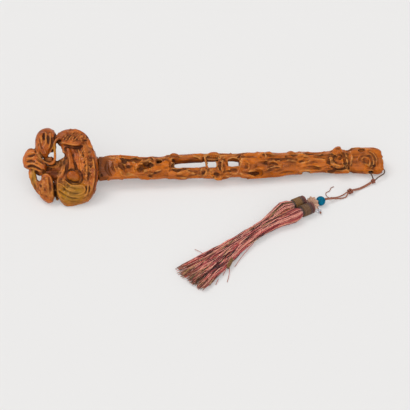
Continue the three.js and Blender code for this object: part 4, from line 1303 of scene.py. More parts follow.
SHAFT_FILLS = [
    bead(2.7, 0, (-39, 4.5, 2), (-37, 2, 3.5), (-36.8, -1.5, 6)),
    bead(4.8, 0, (28, 8.4, -4.6), (34, 7.2, -5.8), (41, 5.8, -7)),
    bead(4.6, 0, (-30, 8.4, -4.6), (-36, 7.4, -5.6), (-43, 6.2, -6.6)),
    bead(5.2, 0, (28, -6.4, 2.6), (34, -5.4, -1), (41, -3.6, -5.4)),
]
LEAF_TEETH = [gouge(0.6, 0.6, (u, 11.2), (u, 7.8)) for u in np.arange(2, 14.5, 2.0)]
COMB_TEETH = [gouge(0.6, 0.5, (u, -0.8), (u - 0.3, -5.6)) for u in np.arange(84, 98.5, 2.2)]
SHAFT_STROKES = [
    gouge(2.4, 1.6, (-109, 8), (-109.8, 1), (-108, -5), (-105.5, -8.5)),
    gouge(1.5, 2.0, (-116, -7), (-115.5, -9)),
    bead(1.4, 0.9, (-112, 12.8), (-104, 13.2), (-91, 12.8), (-80, 11.5), (-72, 10.5)),
    gouge(1.7, 0.4, (-90, 9), (-84, 8.5), (-78, 8), (-73, 8)),
    bead(1.5, 0.3, (-99, 12), (-99.3, 7), (-97.5, 2), (-95, -3), (-93.5, -7)),
    bead(1.4, 0.3, (-96, 10), (-91.5, 4), (-88, -1), (-86, -6)),
    bead(1.3, 0.3, (-92, 11.5), (-86.5, 6), (-82, 0), (-79.5, -5)),
    gouge(1.2, 0.8, (-97, 7), (-93, 1), (-90.5, -5)),
    gouge(1.2, 0.7, (-92.5, 8.5), (-87.5, 3), (-83.5, -3)),
    gouge(1.4, 0.9, (-104, 6), (-103.5, 1), (-101, -5)),
    bead(1.2, 0.2, (-102, 7.5), (-101.5, 2), (-99, -4)),
    bead(1.2, 1.1, (-94.5, -4), (-94, -7.5), (-90, -9.3), (-84, -8.5)),
    gouge(3.0, 1.0, (-74.5, -3.8), (-72.5, -1.5), (-71.5, 0.5)),
    bead(1.1, 0.5, (-78, -3.5), (-77.5, 1), (-75, 3.5), (-72, 6), (-70, 9.5)),
    gouge(2.4, 0.7, (-67, 4), (-63.5, 3), (-61, 1.5)),
    gouge(2.0, 1.2, (-66.5, -0.5), (-63, -1)),
    bead(1.1, 0.5, (-60, 10.5), (-57.3, 7), (-56.8, 3), (-58, -0.5), (-61.5, -3), (-66.5, -3.8), (-69.5, -6)),
    bead(1.3, 1.1, (-69, 10), (-66, 7.5), (-62, 8), (-60.5, 6)),
    gouge(2.6, 4.2, (-54.5, 4.6), (-53, 4.6)),
    bead(1.0, 0.8, (-64, -9.5), (-58, -6.5), (-51, -3.5)),
    gouge(0.8, 0.4, (-65, -11), (-58.5, -8), (-50.5, -5)),
    bead(1.3, 1.0, (-50, 9.8), (-46.5, 9.5), (-43, 8)),
    bead(1.3, 0.3, (-45.5, 7), (-43, 4), (-42.8, 0), (-45, -3.5), (-48.5, -4.5)),
    gouge(1.6, 1.1, (-41, 6), (-39.8, 2), (-39.8, -3), (-42, -5.5)),
    bead(2.0, 1.2, (-42.5, 9), (-40, 12), (-36, 13.3), (-32.5, 11)),
    gouge(1.2, 0.6, (-40, 9.5), (-36.5, 11), (-33, 9.5)),
    gouge(1.6, 2.0, (-38.5, -3.5), (-33.5, -5), (-29, -4)),
    gouge(1.7, 2.6, (-26.5, -3), (-24, -3)),
    bead(1.2, 1.2, (-33, -8), (-28, -7.2), (-23.5, -5.5), (-19.5, -6)),
    bead(1.2, 1.1, (-22, -5), (-18, -8), (-13.5, -9.5)),
    bead(1.3, 1.0, (-17, -3.5), (-11, -3), (-7.5, -2.8)),
    gouge(1.2, 0.7, (-17.5, -5.8), (-12.5, -6), (-9, -5.5)),
    bead(1.2, 0.9, (-31, 11), (-24, 10.5), (-17, 11.5), (-10, 10.2), (-4, 9.7)),
    gouge(0.9, 0.5, (-29, 8.5), (-20, 8.8), (-10, 8)),
    bead(1.3, 1.3, (-7.8, -6.5), (-5.5, -3.8), (-2, -5), (-1.5, -9), (-4.5, -12), (-7.5, -10.5), (-8, -7)),
    gouge(1.5, 2.6, (-4.8, -8), (-4.2, -8.8)),
    bead(1.3, 1.2, (-2.2, 11), (-1.5, 7), (-0.6, 3), (-0.2, -1), (1, -5), (3, -9.5), (5.5, -13)),
    bead(1.6, 1.4, (3, -6), (6, -4.5), (10, -6), (13.5, -9), (14.5, -12), (11.5, -14.5), (7.5, -14)),
    gouge(1.9, 2.4, (8, -9.5), (10.5, -11)),
    bead(1.3, 1.3, (-0.5, 9.5), (1.5, 12), (7, 12.5), (12, 11.5), (16, 9)),
    bead(1.0, 1.0, (0, 7), (6, 6.8), (12, 6.8), (16.5, 8)),
    *LEAF_TEETH,
    bead(1.4, 1.4, (10.5, 5.5), (12, 1.5), (11.5, -2.5), (12.5, -6)),
    bead(1.2, 1.2, (15.5, 5), (17, 0.5), (15.5, -4), (17.5, -8)),
    bead(1.1, 1.1, (17, 3), (19.3, 7), (23, 9)),
    gouge(1.2, 0.9, (13.8, 4), (14.3, -1), (14, -5.5)),
    gouge(1.0, 0.7, (18.5, 2), (19.5, -3), (19, -7)),
    gouge(2.6, 2.4, (28, -5.5), (31, -6.5)),
    bead(1.2, 1.1, (24, -3.5), (25, -8), (28, -10.5), (33, -10), (35, -6.5)),
    bead(1.3, 1.0, (19, -10), (22.5, -12.5), (25.5, -12)),
    bead(1.2, 1.0, (20, 10), (28, 10.5), (36, 11.5)),
    bead(1.4, 1.1, (36.5, 3.5), (40, 4.5), (44.5, 2.5), (46, -2), (43.5, -6.5), (39, -7), (37, -4)),
    gouge(1.2, 0.7, (37.5, 1), (41, 2), (43, -0.5), (41.5, -3.8), (39.5, -3.5)),
    bead(1.2, 0.9, (36, -10), (41, -12.5), (46, -13)),
    bead(1.3, 1.0, (36.5, 12), (44, 12.3), (53, 11.5)),
    gouge(1.3, 0.7, (38, 9), (46, 8.5), (55, 8)),
    bead(1.1, 0.1, (38, 6), (46, 6), (54, 5)),
    gouge(2.4, 3.8, (48.5, -10.5), (52, -10.8), (56, -10.3)),
    bead(1.1, 0.2, (45.5, -9.5), (48.5, -7.3), (53, -7), (58, -8.7), (60.5, -11)),
    gouge(3.2, 0.3, (53, -1.5), (58, -1.2), (64, -1)),
    bead(1.2, 0.2, (50, 4), (57, 3.2), (64, 3.5), (67.5, 1.5), (67.5, -3), (64.5, -5.5)),
    gouge(1.6, 1.1, (59.5, 7.5), (60.5, 7.3)),
    bead(1.4, 1.4, (58, 10.5), (62, 11.8), (66, 9.5), (65, 6.5)),
    bead(1.0, 0.5, (66, -1), (70, 2), (74.5, 2.5), (79, -0.5), (80.5, -4.5)),
    bead(1.2, 1.2, (69, -4.5), (74, -3), (78, -3.5), (82, -1.5)),
    gouge(1.0, 0.8, (68.5, 0), (73, 0), (77.5, -1.5)),
    bead(1.3, 0.2, (64, -10.5), (69, -9), (74.5, -6.8), (80, -6)),
    gouge(1.0, 0.7, (67, -7), (73, -5.2), (79.5, -5)),
    bead(1.3, 0.2, (68, 9), (78, 9.2), (88, 8.8), (97, 8)),
    gouge(1.2, 0.9, (70, 6.2), (80, 5), (90, 4.8), (99.5, 4)),
    bead(0.9, 0.4, (72, 4), (80, 3), (90, 2.8), (99, 2)),
    gouge(0.9, 0.6, (84, 1), (92, 0.8), (99, 0.3)),
    *COMB_TEETH,
    bead(1.3, 0.2, (77, -10), (83, -7.8), (90, -7.5), (98, -8)),
    gouge(1.0, 0.7, (80, -11.5), (87, -10), (96, -10.5)),
    bead(1.8, 1.2, (92.5, 11.3), (95.5, 12.3), (98.5, 11)),
    gouge(1.3, 0.9, (96, 6.5), (98.5, 5.5)),
    bead(1.1, 0.6, (99.5, 5.2), (102, 4.2), (105.5, 4.8), (109.5, 6.8), (112.5, 6.2), (115.5, 4.2)),
    bead(1.2, 0.9, (100, 8.5), (106, 8.8), (113, 8.5)),
    gouge(1.2, 0.9, (100, 2.3), (105.5, 1.8), (109, 3.3), (112.5, 2.3)),
    bead(1.1, 1.1, (112.5, 1.2), (115.5, 3.3), (119.5, 3.8), (123, 2)),
    bead(1.0, 0.5, (102.5, -2.2), (106.5, 0.3), (110.5, 0.2), (114.5, -1)),
    gouge(1.0, 0.7, (115, 0.5), (119, 1.2), (123.5, -0.5)),
    bead(2.0, 1.4, (107.5, -4.2), (113, -3), (119, -3.2), (124, -5)),
    gouge(1.0, 0.7, (105.5, -6.8), (113, -6.8), (120.5, -6.3), (126, -6.8)),
    gouge(0.8, 0.4, (110, -1.2), (116, -0.8)),
    bead(1.2, 0.2, (102, -9.5), (109, -8.6), (116, -9), (122, -8.3), (129, -8.8)),
    gouge(2.0, 3.0, (106.5, -11.5), (109.5, -11), (112, -11.5)),
    gouge(0.8, 0.4, (121, 5.5), (128, 4.8), (136, 5.5)),
    gouge(0.8, 0.4, (124, 1), (131, 0.2), (136, 1.5)),
    bead(1.2, 0.8, (122, 8.5), (130, 8.7), (136, 9)),
    bead(1.3, 0.8, (136.5, 3), (137.5, -1), (140.5, -4.5), (145, -6.2), (149, -5), (151.5, -1.5), (150.5, 3)),
    bead(1.3, 0.7, (134.5, -3.5), (138, -7.5), (143.5, -9.6), (150, -9.8), (155.5, -8)),
    gouge(1.3, 0.5, (138.5, -5), (143.5, -8), (149.5, -7.8), (154, -5)),
    gouge(1.6, 0.7, (152.8, 5), (153.3, 0), (153, -4)),
    bead(1.2, 1.1, (155, 9), (155.5, 3), (155.3, -3)),
    gouge(1.7, 0.8, (157.8, 11), (157.8, 2), (157.8, -6)),
    gouge(1.5, 2.6, (157.3, -6.5), (157.8, -8)),
    gouge(1.8, 2.6, (135, -10.5), (138, -10.8), (141, -10.8)),
    gouge(2.2, 2.4, (171.5, 12), (174.5, 12.8), (177, 12.8)),
    bead(1.4, 0.2, (161, 11.5), (163, 7), (162.5, 0), (161.5, -7)),
    bead(1.4, 0.8, (167.3, -3), (167.7, 1.5), (170.2, 5.5), (174.5, 8), (179.5, 8), (183.5, 5.5),
         (185.3, 0.5), (184.3, -5), (181.5, -9)),
    bead(1.2, 0.6, (171.5, -2), (172.8, 2.2), (176.5, 4.5), (180, 3), (181.3, -1.5), (179.8, -6)),
    gouge(1.0, 0.4, (169.5, -1.5), (171, 3.5), (175.5, 6.3), (181, 5.2), (183.3, 0.5), (182.3, -5),
          (180.5, -8)),
    gouge(1.0, 0.6, (174, -2), (176, 1.5), (178.8, 0.5), (178.5, -4)),
    bead(1.3, 0.2, (183, 11), (187, 6.5), (188.7, 0.5), (187.5, -6), (185.5, -9.5)),
    gouge(1.2, 0.55, (181, 10.5), (185.2, 7.3), (187.2, 1.5), (186.3, -5), (184, -9)),
    gouge(1.2, 0.45, (187, 11), (190, 5), (190.8, -1), (189.8, -7)),
]
STUD_TUFT = [(-105, 5), (-102, 8), (-98, 6), (-96, 0), (-96, -6), (-101, -7), (-104, -3)]
STUD_LUMP = [(139, 4), (141, 14), (147, 16), (151, 12), (151, 2), (147, -2), (141, 0)]
SHAFT_STUDS = [Studs(STUD_TUFT, 2.5, 1.2, 0.6, 6), Studs(STUD_LUMP, 2.7, 1.3, 0.6, 7)]
# A dark stain on the neck, and painted shade in three hollows of the stem.
NECK_STAIN_AND_HOLLOW_SHADE = [(-113, 2, 9, 17, 0.8), (-73, -2, 4, 4, 0.4), (58, -1, 8, 3, 0.35), (-63, 1, 5, 4, 0.35)]
# Spots of painted shade: the head's shadow on the neck, the shadowed undersides of the rails over the slots,
# and deep hollows and holes.
SHAFT_SHADES = [
    (-117, 10, 3, 3, 0.6), (-116.8, 0, 1.5, 9, 0.62), (-116, -8, 2.2, 2.5, 0.85), (-73, -2, 3, 3, 0.85),
    (-64, 2, 4, 3, 0.8), (-54, 4.6, 3, 2.2, 0.88), (-24, -3.2, 3.5, 1.3, 0.7), (1, -5.2, 1.8, 2, 0.7),
    (-18, 5, 17, 2, 0.75), (4, 5, 5, 1.6, 0.6), (30, 5, 6, 1.6, 0.6), (30, -6, 3.5, 2.5, 0.7),
    (52, -10.5, 5, 2.2, 0.8), (109, -11.5, 4, 2, 0.8), (138, -11, 4, 2, 0.8),
    (174, 12.5, 4, 2.5, 0.6), (157.8, -6, 1.5, 4, 0.6),
]


@dataclass
class Head:
    """The carved head: lobes, folded leaves, a stem with its fruit and curled rims, on the shaft's tenon."""

    pitch: float = 0.45
    softening: int = 6
    last_softening: int = 1
    gnarl_cell: Place = (6.5, 6.5, 6.5)
    gnarl_height: float = 0.7
    gnarl_seed: int = 21
    back_marks: int = 260
    mark_u: Span = (-200, -125)
    mark_t: Span = (-45, 48)
    mark_from: float = -40.0
    mark_length: Span = (5, 11)
    shaft_gap: float = 0.35
    # crease_shade: how strongly shade is painted into the cuts.
    crease_shade: float = 2.4

    def mark(self, rng: random.Random) -> Mark:
        """Draws a gouge mark on the back of the head.

        Args:
            rng: where its numbers are drawn.

        Returns:
            The mark.
        """
        start = np.array([rng.uniform(*self.mark_u), rng.uniform(*self.mark_t), self.mark_from])
        way = rng.uniform(0, 2 * math.pi)
        step = rng.uniform(*self.mark_length) * np.array([math.cos(way), math.sin(way), 0])
        return start, step, -TO_BACK

    def build(self) -> None:
        """Carves the head and dresses it."""
        wood = Clay("ruyi_head", self.pitch)
        wood.carve(HEAD_FILLS)
        wood.carve(HEAD_WINDOWS)
        wood.soften(self.softening)
        wood.gnarl(self.gnarl_cell, self.gnarl_height, self.gnarl_seed)
        for studs in HEAD_STUDS:
            wood.stud(studs)
        wood.carve(HEAD_STROKES)
        wood.carve(HEAD_WINDOWS)
        wood.soften(self.last_softening)
        wood.scuff(self.back_marks, self.mark)
        wood.keep_off(wood.distances("shaft"), self.shaft_gap)
        wood.rest()
        head = wood.piece("ruyi_head_carving", OLIVE_PATCHES, HEAD_SHADES, self.crease_shade)
        dress(head, "sceptre", "head_wood", HEAD_WOOD.material(), "ruyi_head")


@dataclass
class Shaft:
    """The carved stem with its hollows, slots and curls, its tail block with the eye, and the peg."""

    pitch: float = 0.5
    softening: int = 5
    gnarl_cell: Place = (15.0, 7.0, 7.0)
    gnarl_height: float = 0.9
    gnarl_seed: int = 22
    marks: int = 380
    mark_u: Span = (-102, 185)
    mark_from: float = 30
    mark_length: Span = (5, 13)
    mark_slant: Span = (-3, 3)
    cord_room: float = 1.25
    cord_step: float = 0.5
    # crease_shade: how strongly shade is painted into the cuts.
    crease_shade: float = 2.1

    def mark(self, rng: random.Random) -> Mark:
        """Draws a gouge mark anywhere round the stem.

        Args:
            rng: where its numbers are drawn.

        Returns:
            The mark.
        """
        angle = rng.uniform(0, 2 * math.pi)
        out = np.array([0.0, math.cos(angle), math.sin(angle)])
        ahead = rng.uniform(*self.mark_length)
        across = rng.uniform(*self.mark_slant) * out[2]
        aloft = rng.uniform(*self.mark_slant) * out[1]
        start = np.array([rng.uniform(*self.mark_u), 0.0, 0.0]) + self.mark_from * out
        return start, np.array([ahead, across, aloft]), -out

    def build(self) -> None:
        """Carves the stem, frees the cord's eye and dresses stem and peg."""
        wood = Clay("shaft", self.pitch)
        wood.carve(SHAFT_FILLS)
        wood.soften(self.softening)
        wood.gnarl(self.gnarl_cell, self.gnarl_height, self.gnarl_seed)
        for studs in SHAFT_STUDS:
            wood.stud(studs)
        wood.carve(SHAFT_STROKES)
        wood.scuff(self.marks, self.mark)
        loop = (smooth_route(loop_route() + SHIFT, self.cord_step) - AXIS_PLACE) @ TURN
        wood.cut(loop, np.full(len(loop), self.cord_room), GROOVE_BLEND)
        wood.rest()
        shaft = wood.piece("shaft_carving", NECK_STAIN_AND_HOLLOW_SHADE, SHAFT_SHADES, self.crease_shade)
        dress(shaft, "sceptre", "shaft_wood", SHAFT_WOOD.material(), "shaft")
        peg = frame["nodes"]["tenon_peg"]
        peg.data.materials.clear()
        peg.data.materials.append(PEG_WOOD.material())


# Pendant


# The loop's arc round the eye: its middle, radius, first angle, step in degrees and number of places.
EYE = np.array([190.5, -11.5, 5.4])
EYE_RING = 8.2
ARC_START = 190
ARC_STEP = 20.5
ARC_POINTS = 13
LOOP_BEFORE = [(183.75, -23.2, 3.6), (183.1, -19.2, 4.8)]
LOOP_AFTER = [(189.5, -21.4, 4.2), (186.1, -24.4, 3.5)]


def loop_route() -> np.ndarray:
    """Finds the places that the loop of cord goes through.

    Returns:
        The places, from the knot through the eye and back.
    """
    turns = np.radians(ARC_START - ARC_STEP * np.arange(ARC_POINTS))
    arc = np.column_stack([EYE_RING * np.cos(turns), EYE_RING * np.sin(turns), 0 * turns])
    return np.vstack([LOOP_BEFORE, EYE + arc, LOOP_AFTER])


CORD_A = [
    (180.3, -26.8, 2.6), (175, -29.8, 1.5), (167, -34.2, 0.95), (160.4, -37.7, 2.2), (157, -39.6, 3.2),
    (153.7, -41.4, 3.3), (150.6, -43.1, 3.1), (145.5, -45.2, 1.1), (141.6, -47.4, 1.2), (137.6, -49.9, 2.2),
    (131.5, -52.6, 4.2), (124, -55, 5.45), (118.1, -57.6, 5.45), (112.6, -60.3, 5.45), (108.4, -59.2, 5.6),
    (104, -57.7, 6.3), (100.6, -58, 6.85), (97.2, -59.9, 6.85),
]
CORD_B = [
    (181.1, -28.2, 2.6), (175.8, -31.2, 1.5), (167.8, -35.6, 0.95), (161.2, -39.1, 2.2), (157.8, -41, 3.2),
    (154.5, -42.8, 3.3), (151.6, -44.4, 3.1), (148.6, -48.2, 1.1), (144.4, -50.4, 1.2), (138.9, -51.9, 2.2),
    (132.2, -54.2, 4.2), (124.8, -56.4, 5.45), (118.9, -59, 5.45), (113.6, -61.8, 5.9), (110.3, -63, 7.7),
    (108.3, -64.8, 8.2), (106.7, -66.5, 8.4), (105.9, -68.4, 7.9), (105.2, -70.1, 7.2), (103.6, -71.5, 6.85),
]
LOOSE_THREAD = [
    (131.9, -51.4, 4.2), (129.6, -51.6, 3.4), (128.6, -48.6, 2.2), (127.6, -45.2, 1.2), (127.4, -41.8, 0.8),
    (128.9, -38.6, 0.7), (131.9, -37, 0.7), (133.6, -34.4, 0.7), (135.3, -31.2, 0.7), (138.6, -29.4, 0.7),
]
GLASS_THREAD = [
    (113.9, -63.3, 4.4), (114.2, -65.8, 3.4), (114.4, -68.6, 2.75), (115, -71.2, 2.65), (115.7, -74, 2.65),
]


@dataclass
class Cords:
    """The doubled silk cord: the loop through the eye, both strands, their knots and the loose thread.

    A barrel turn is its place along the cord and its lean in degrees.
    """

    loop_radius: float = 0.75
    strand_radius: float = 0.78
    thread_radius: float = 0.45
    glass_thread_radius: float = 0.4
    ply_pitch: float = 3.2
    step: float = 0.4
    sides: int = 12
    heading: Place = (-0.87, -0.493, 0.0)
    knot_sides: int = 8
    knot_points: int = 96
    knot_wave: float = 0.32
    knot_depth: float = 0.85
    upper_knot: Place = (183.2, -26.2, 2.9)
    upper_ring: float = 1.5
    upper_radius: float = 0.95
    lower_knot: Place = (154.1, -42.1, 3.3)
    barrel_ring: float = 2.25
    barrel_radius: float = 0.82
    barrel_points: int = 40
    barrel_turns: tuple[Span, ...] = ((-1.6, 14), (0.0, -12), (1.6, 14))
    tuck_ring: float = 2.95
    tuck_radius: float = 0.55
    tuck_points: int = 24
    tuck_turn: Span = (-0.4, 1.5)
    tuck_run: Span = (3.2, -2.6)
    stop_heading: Place = (0.895, 0.446, 0.0)
    stop_ring: float = 1.15
    stop_radius: float = 0.62
    stop_a: Place = (95.6, -60.7, 6.85)
    stop_b: Place = (102.6, -72, 6.85)
    glass_stop: Place = (115.8, -74.4, 2.65)
    glass_stop_size: float = 0.62

    def cord(
        self, name: str, points: np.ndarray, radius: float, finish: TwistedSilk, slot: str
    ) -> tuple[Object, np.ndarray]:
        """Makes one cord of the pendant.

        Args:
            name: the frame node that it stands for.
            points: the places that it goes through.
            radius: its radius.
            finish: its material.
            slot: the record's slot.

        Returns:
            The piece and its route.
        """
        route = smooth_route(np.asarray(points) + SHIFT, self.step)
        skein = Skein()
        skein.twine(route, radius, self.ply_pitch, self.sides)
        piece = skein.piece(f"{name}_silk")
        dress(piece, "pendant", slot, finish.material(), name)
        return piece, route

    def ball_knot(
        self, skein: Skein, centre: np.ndarray, along: np.ndarray, ring: float, radius: float
    ) -> None:
        """Ties an overhand knot, drawn tight, round a cord.

        Args:
            skein: where its turns are added.
            centre: its middle.
            along: the cord's direction.
            ring: the mean radius of its turns.
            radius: the cord's radius.
        """
        across, up = cross_ways(along)
        t = np.linspace(0, 2 * math.pi, self.knot_points, endpoint=False)
        reach = ring * (1 + self.knot_wave * np.cos(3 * t))
        depth = self.knot_depth * ring * np.sin(3 * t)
        turns = np.column_stack([reach * np.cos(2 * t), reach * np.sin(2 * t), depth])
        route = centre + turns[:, :1] * across + turns[:, 1:2] * up + turns[:, 2:] * along
        skein.twine(route, radius, self.ply_pitch, self.knot_sides, closed=True)

    def stop_knot(self, name: str, centre: Place, size: float = 1.0) -> Object:
        """Makes the knot at the end of a cord.

        Args:
            name: the cord's name.
            centre: the knot's middle.
            size: its size against a strand's stop knot.

        Returns:
            The piece.
        """
        skein = Skein()
        along = np.array(self.stop_heading)
        self.ball_knot(skein, np.array(centre) + SHIFT, along, self.stop_ring * size, self.stop_radius * size)
        piece = skein.piece(f"{name}_stop_knot")
        dress(piece, "pendant", "strand_cord", STRAND_SILK.material(), name)
        return piece

    def barrel_knot(self, skein: Skein, centre: np.ndarray, along: np.ndarray) -> None:
        """Winds the sliding knot: turns side by side round both strands, and the end tucked over them.

        Args:
            skein: where its turns are added.
            centre: its middle.
            along: the cord's direction.
        """
        across, up = cross_ways(along)
        ring = self.barrel_ring
        t = np.linspace(0, 2 * math.pi, self.barrel_points, endpoint=False)
        for shift, lean in self.barrel_turns:
            slant = math.tan(math.radians(lean)) * ring * np.sin(t)
            route = centre + ring * np.cos(t)[:, None] * across + ring * np.sin(t)[:, None] * up
            route = route + (shift + slant)[:, None] * along
            skein.twine(route, self.barrel_radius, self.ply_pitch, self.knot_sides, closed=True)
        t = np.linspace(*self.tuck_turn, self.tuck_points)
        tuck = centre + self.tuck_ring * (np.cos(t)[:, None] * up - np.sin(t)[:, None] * across)
        tuck = tuck + np.linspace(*self.tuck_run, self.tuck_points)[:, None] * along
        skein.twine(tuck, self.tuck_radius, self.ply_pitch, self.knot_sides)

    def build(self) -> None:
        loop = self.cord("cord_loop", loop_route(), self.loop_radius, LOOP_SILK, "loop_cord")
        strand_a = self.cord("cord_a", CORD_A, self.strand_radius, STRAND_SILK, "strand_cord")
        strand_b = self.cord("cord_b", CORD_B, self.strand_radius, STRAND_SILK, "strand_cord")
        thread = self.cord("loose_thread", LOOSE_THREAD, self.thread_radius, STRAND_SILK, "strand_cord")
        self.cord("glass_bead_thread", GLASS_THREAD, self.glass_thread_radius, STRAND_SILK, "strand_cord")
        self.stop_knot("glass_bead_thread", self.glass_stop, self.glass_stop_size)
        stop_a = self.stop_knot("cord_a", self.stop_a)
        stop_b = self.stop_knot("cord_b", self.stop_b)
        along = np.array(self.heading)
        upper = Skein()
        centre = np.array(self.upper_knot) + SHIFT
        self.ball_knot(upper, centre, along, self.upper_ring, self.upper_radius)
        upper_piece = upper.piece("upper_knot_silk")
        dress(upper_piece, "pendant", "strand_cord", KNOT_SILK.material(), "upper_knot")
        lower = Skein()
        self.barrel_knot(lower, np.array(self.lower_knot) + SHIFT, along)
        lower_piece = lower.piece("lower_knot_silk")
        dress(lower_piece, "pendant", "strand_cord", KNOT_SILK.material(), "lower_knot")
        for (piece, route), radius, end, with_pieces in (
            (loop, self.loop_radius, "knot", [upper_piece]),
            (strand_a, self.strand_radius, "knot", [lower_piece, stop_a]),
            (strand_b, self.strand_radius, "knot", [stop_b]),
            (thread, self.thread_radius, "bare", []),
        ):
            LOG.info("%s is %.1f mm long", piece.name, length_of(route))


# The disc's section from its bore round the back, the rim and the front: the share of its radius, and
# the place along its axis.
DISC_PROFILE = (
    (0.19, -0.1), (0.4, -0.15), (0.62, -0.45), (0.85, -1.1), (0.96, -1.3), (1.0, -1.05), (1.0, -0.65),
    (0.93, -0.2), (0.8, 0.3), (0.66, 0.9), (0.5, 1.5), (0.36, 1.8), (0.26, 1.9), (0.19, 1.75),
)
# How wide a bead's drilled edge is eased, as a share of the bead's radius.
LIP_SHARE = 0.06


def level(degrees: float) -> np.ndarray:
    """A level direction."""
    return np.array([math.cos(math.radians(degrees)), math.sin(math.radians(degrees)), 0.0])


@dataclass
class Beads:
    """The beads on the cords: a round turquoise one, a scalloped bone disc and a small clear one."""

    turquoise_place: Place = (118.5, -58.3, 5.45)
    turquoise_radius: float = 5.2
    turquoise_bore: float = 1.9
    turquoise_heading: float = 208.0
    turquoise_faces: tuple[int, int] = (40, 26)
    disc_place: Place = (108.3, -64.8, 8.2)
    disc_radius: float = 7.8
    disc_axis: Place = (-0.7, -0.7, 0.14)
    petals: int = 9
    petal_points: int = 10
    petal_start: float = 0.3
    petal_reach: float = 0.5
    petal_depth: float = 0.07
    petal_lift: float = 0.28
    paler_below: float = 11.0
    paler_over: float = 10.0
    glass_place: Place = (115.0, -71.2, 2.65)
    glass_radius: float = 2.4
    glass_bore: float = 0.75
    glass_heading: float = 285.0
    glass_faces: tuple[int, int] = (24, 16)

    @staticmethod
    def drilled(name: str, radius: float, bore: float, segments: int, rings: int) -> Object:
        """Models a drilled ball: a sphere whose opened poles are joined by the drill's wall and eased.

        Args:
            name: the piece's name.
            radius: the ball's radius.
            bore: the drill's radius.
            segments: faces round it.
            rings: rows of faces from pole to pole.

        Returns:
            The object at the origin, drilled along Z.
        """
        deselect()
        bpy.ops.mesh.primitive_uv_sphere_add(segments=segments, ring_count=rings, radius=radius * MM)
        ball = bpy.context.object
        ball.name = name
        bpy.ops.object.mode_set(mode="EDIT")
        pick(ball, lambda co: math.hypot(co.x, co.y) < bore * MM)
        bpy.ops.mesh.delete(type="VERT")
        bpy.ops.mesh.select_all(action="DESELECT")
        bpy.ops.mesh.select_non_manifold()
        bpy.ops.object.mode_set(mode="OBJECT")
        lip = max(math.hypot(v.co.x, v.co.y) for v in ball.data.vertices if v.select)
        bpy.ops.object.mode_set(mode="EDIT")
        bpy.ops.transform.resize(value=(bore * MM / lip, bore * MM / lip, 1.0))
        bpy.ops.mesh.bridge_edge_loops()
        bpy.ops.mesh.select_all(action="DESELECT")
        bpy.ops.object.mode_set(mode="OBJECT")
        ease_edges(ball, LIP_SHARE * radius)
        ball.data.shade_smooth()
        return ball

    def scalloped(self) -> Object:
        """Makes the disc: dished behind, domed in front, with petals and a drilled middle.

        Returns:
            The object at the origin, with its axis along Z.
        """
        profile = np.array(DISC_PROFILE)
        count = self.petals * self.petal_points
        turn = np.linspace(0, 2 * math.pi, count, endpoint=False)
        wave = np.cos(self.petals * turn)[:, None]
        outer = np.clip((profile[:, 0] - self.petal_start) / self.petal_reach, 0, 1)[None]
        scallop = 1 - self.petal_depth * outer + self.petal_depth * outer * wave
        reach = self.disc_radius * profile[:, 0][None] * scallop
        place = profile[:, 1][None] + self.petal_lift * outer * wave * np.sign(profile[:, 1])[None]
        points = np.stack([reach * np.cos(turn)[:, None], reach * np.sin(turn)[:, None], place], axis=2)
        return new_piece("flower_disc_bone", points.reshape(-1, 3), closed_faces(count, len(profile)))

    def build(self) -> None:
        """Makes the beads and dresses them."""
        turquoise = self.drilled(
            "turquoise_bead_stone", self.turquoise_radius, self.turquoise_bore, *self.turquoise_faces
        )
        settle(turquoise, np.array(self.turquoise_place) + SHIFT, level(self.turquoise_heading))
        dress(turquoise, "turquoise_bead", "turquoise", TURQUOISE.material(), "turquoise_bead")
        disc = self.scalloped()
        settle(disc, np.array(self.disc_place) + SHIFT, np.array(self.disc_axis))
        heights = np.array([vertex.co.z / MM for vertex in disc.data.vertices])
        # The disc is made paler the lower a place lies above the table.
        give_values(disc, wear=np.clip((self.paler_below - heights) / self.paler_over, 0, 1))
        dress(disc, "flower_disc", "disc_wood", DISC_BONE.material(), "flower_disc")
        glass = self.drilled("glass_bead_clear", self.glass_radius, self.glass_bore, *self.glass_faces)
        settle(glass, np.array(self.glass_place) + SHIFT, level(self.glass_heading))
        dress(glass, "glass_bead", "clear_glass", GLASS.material(), "glass_bead")


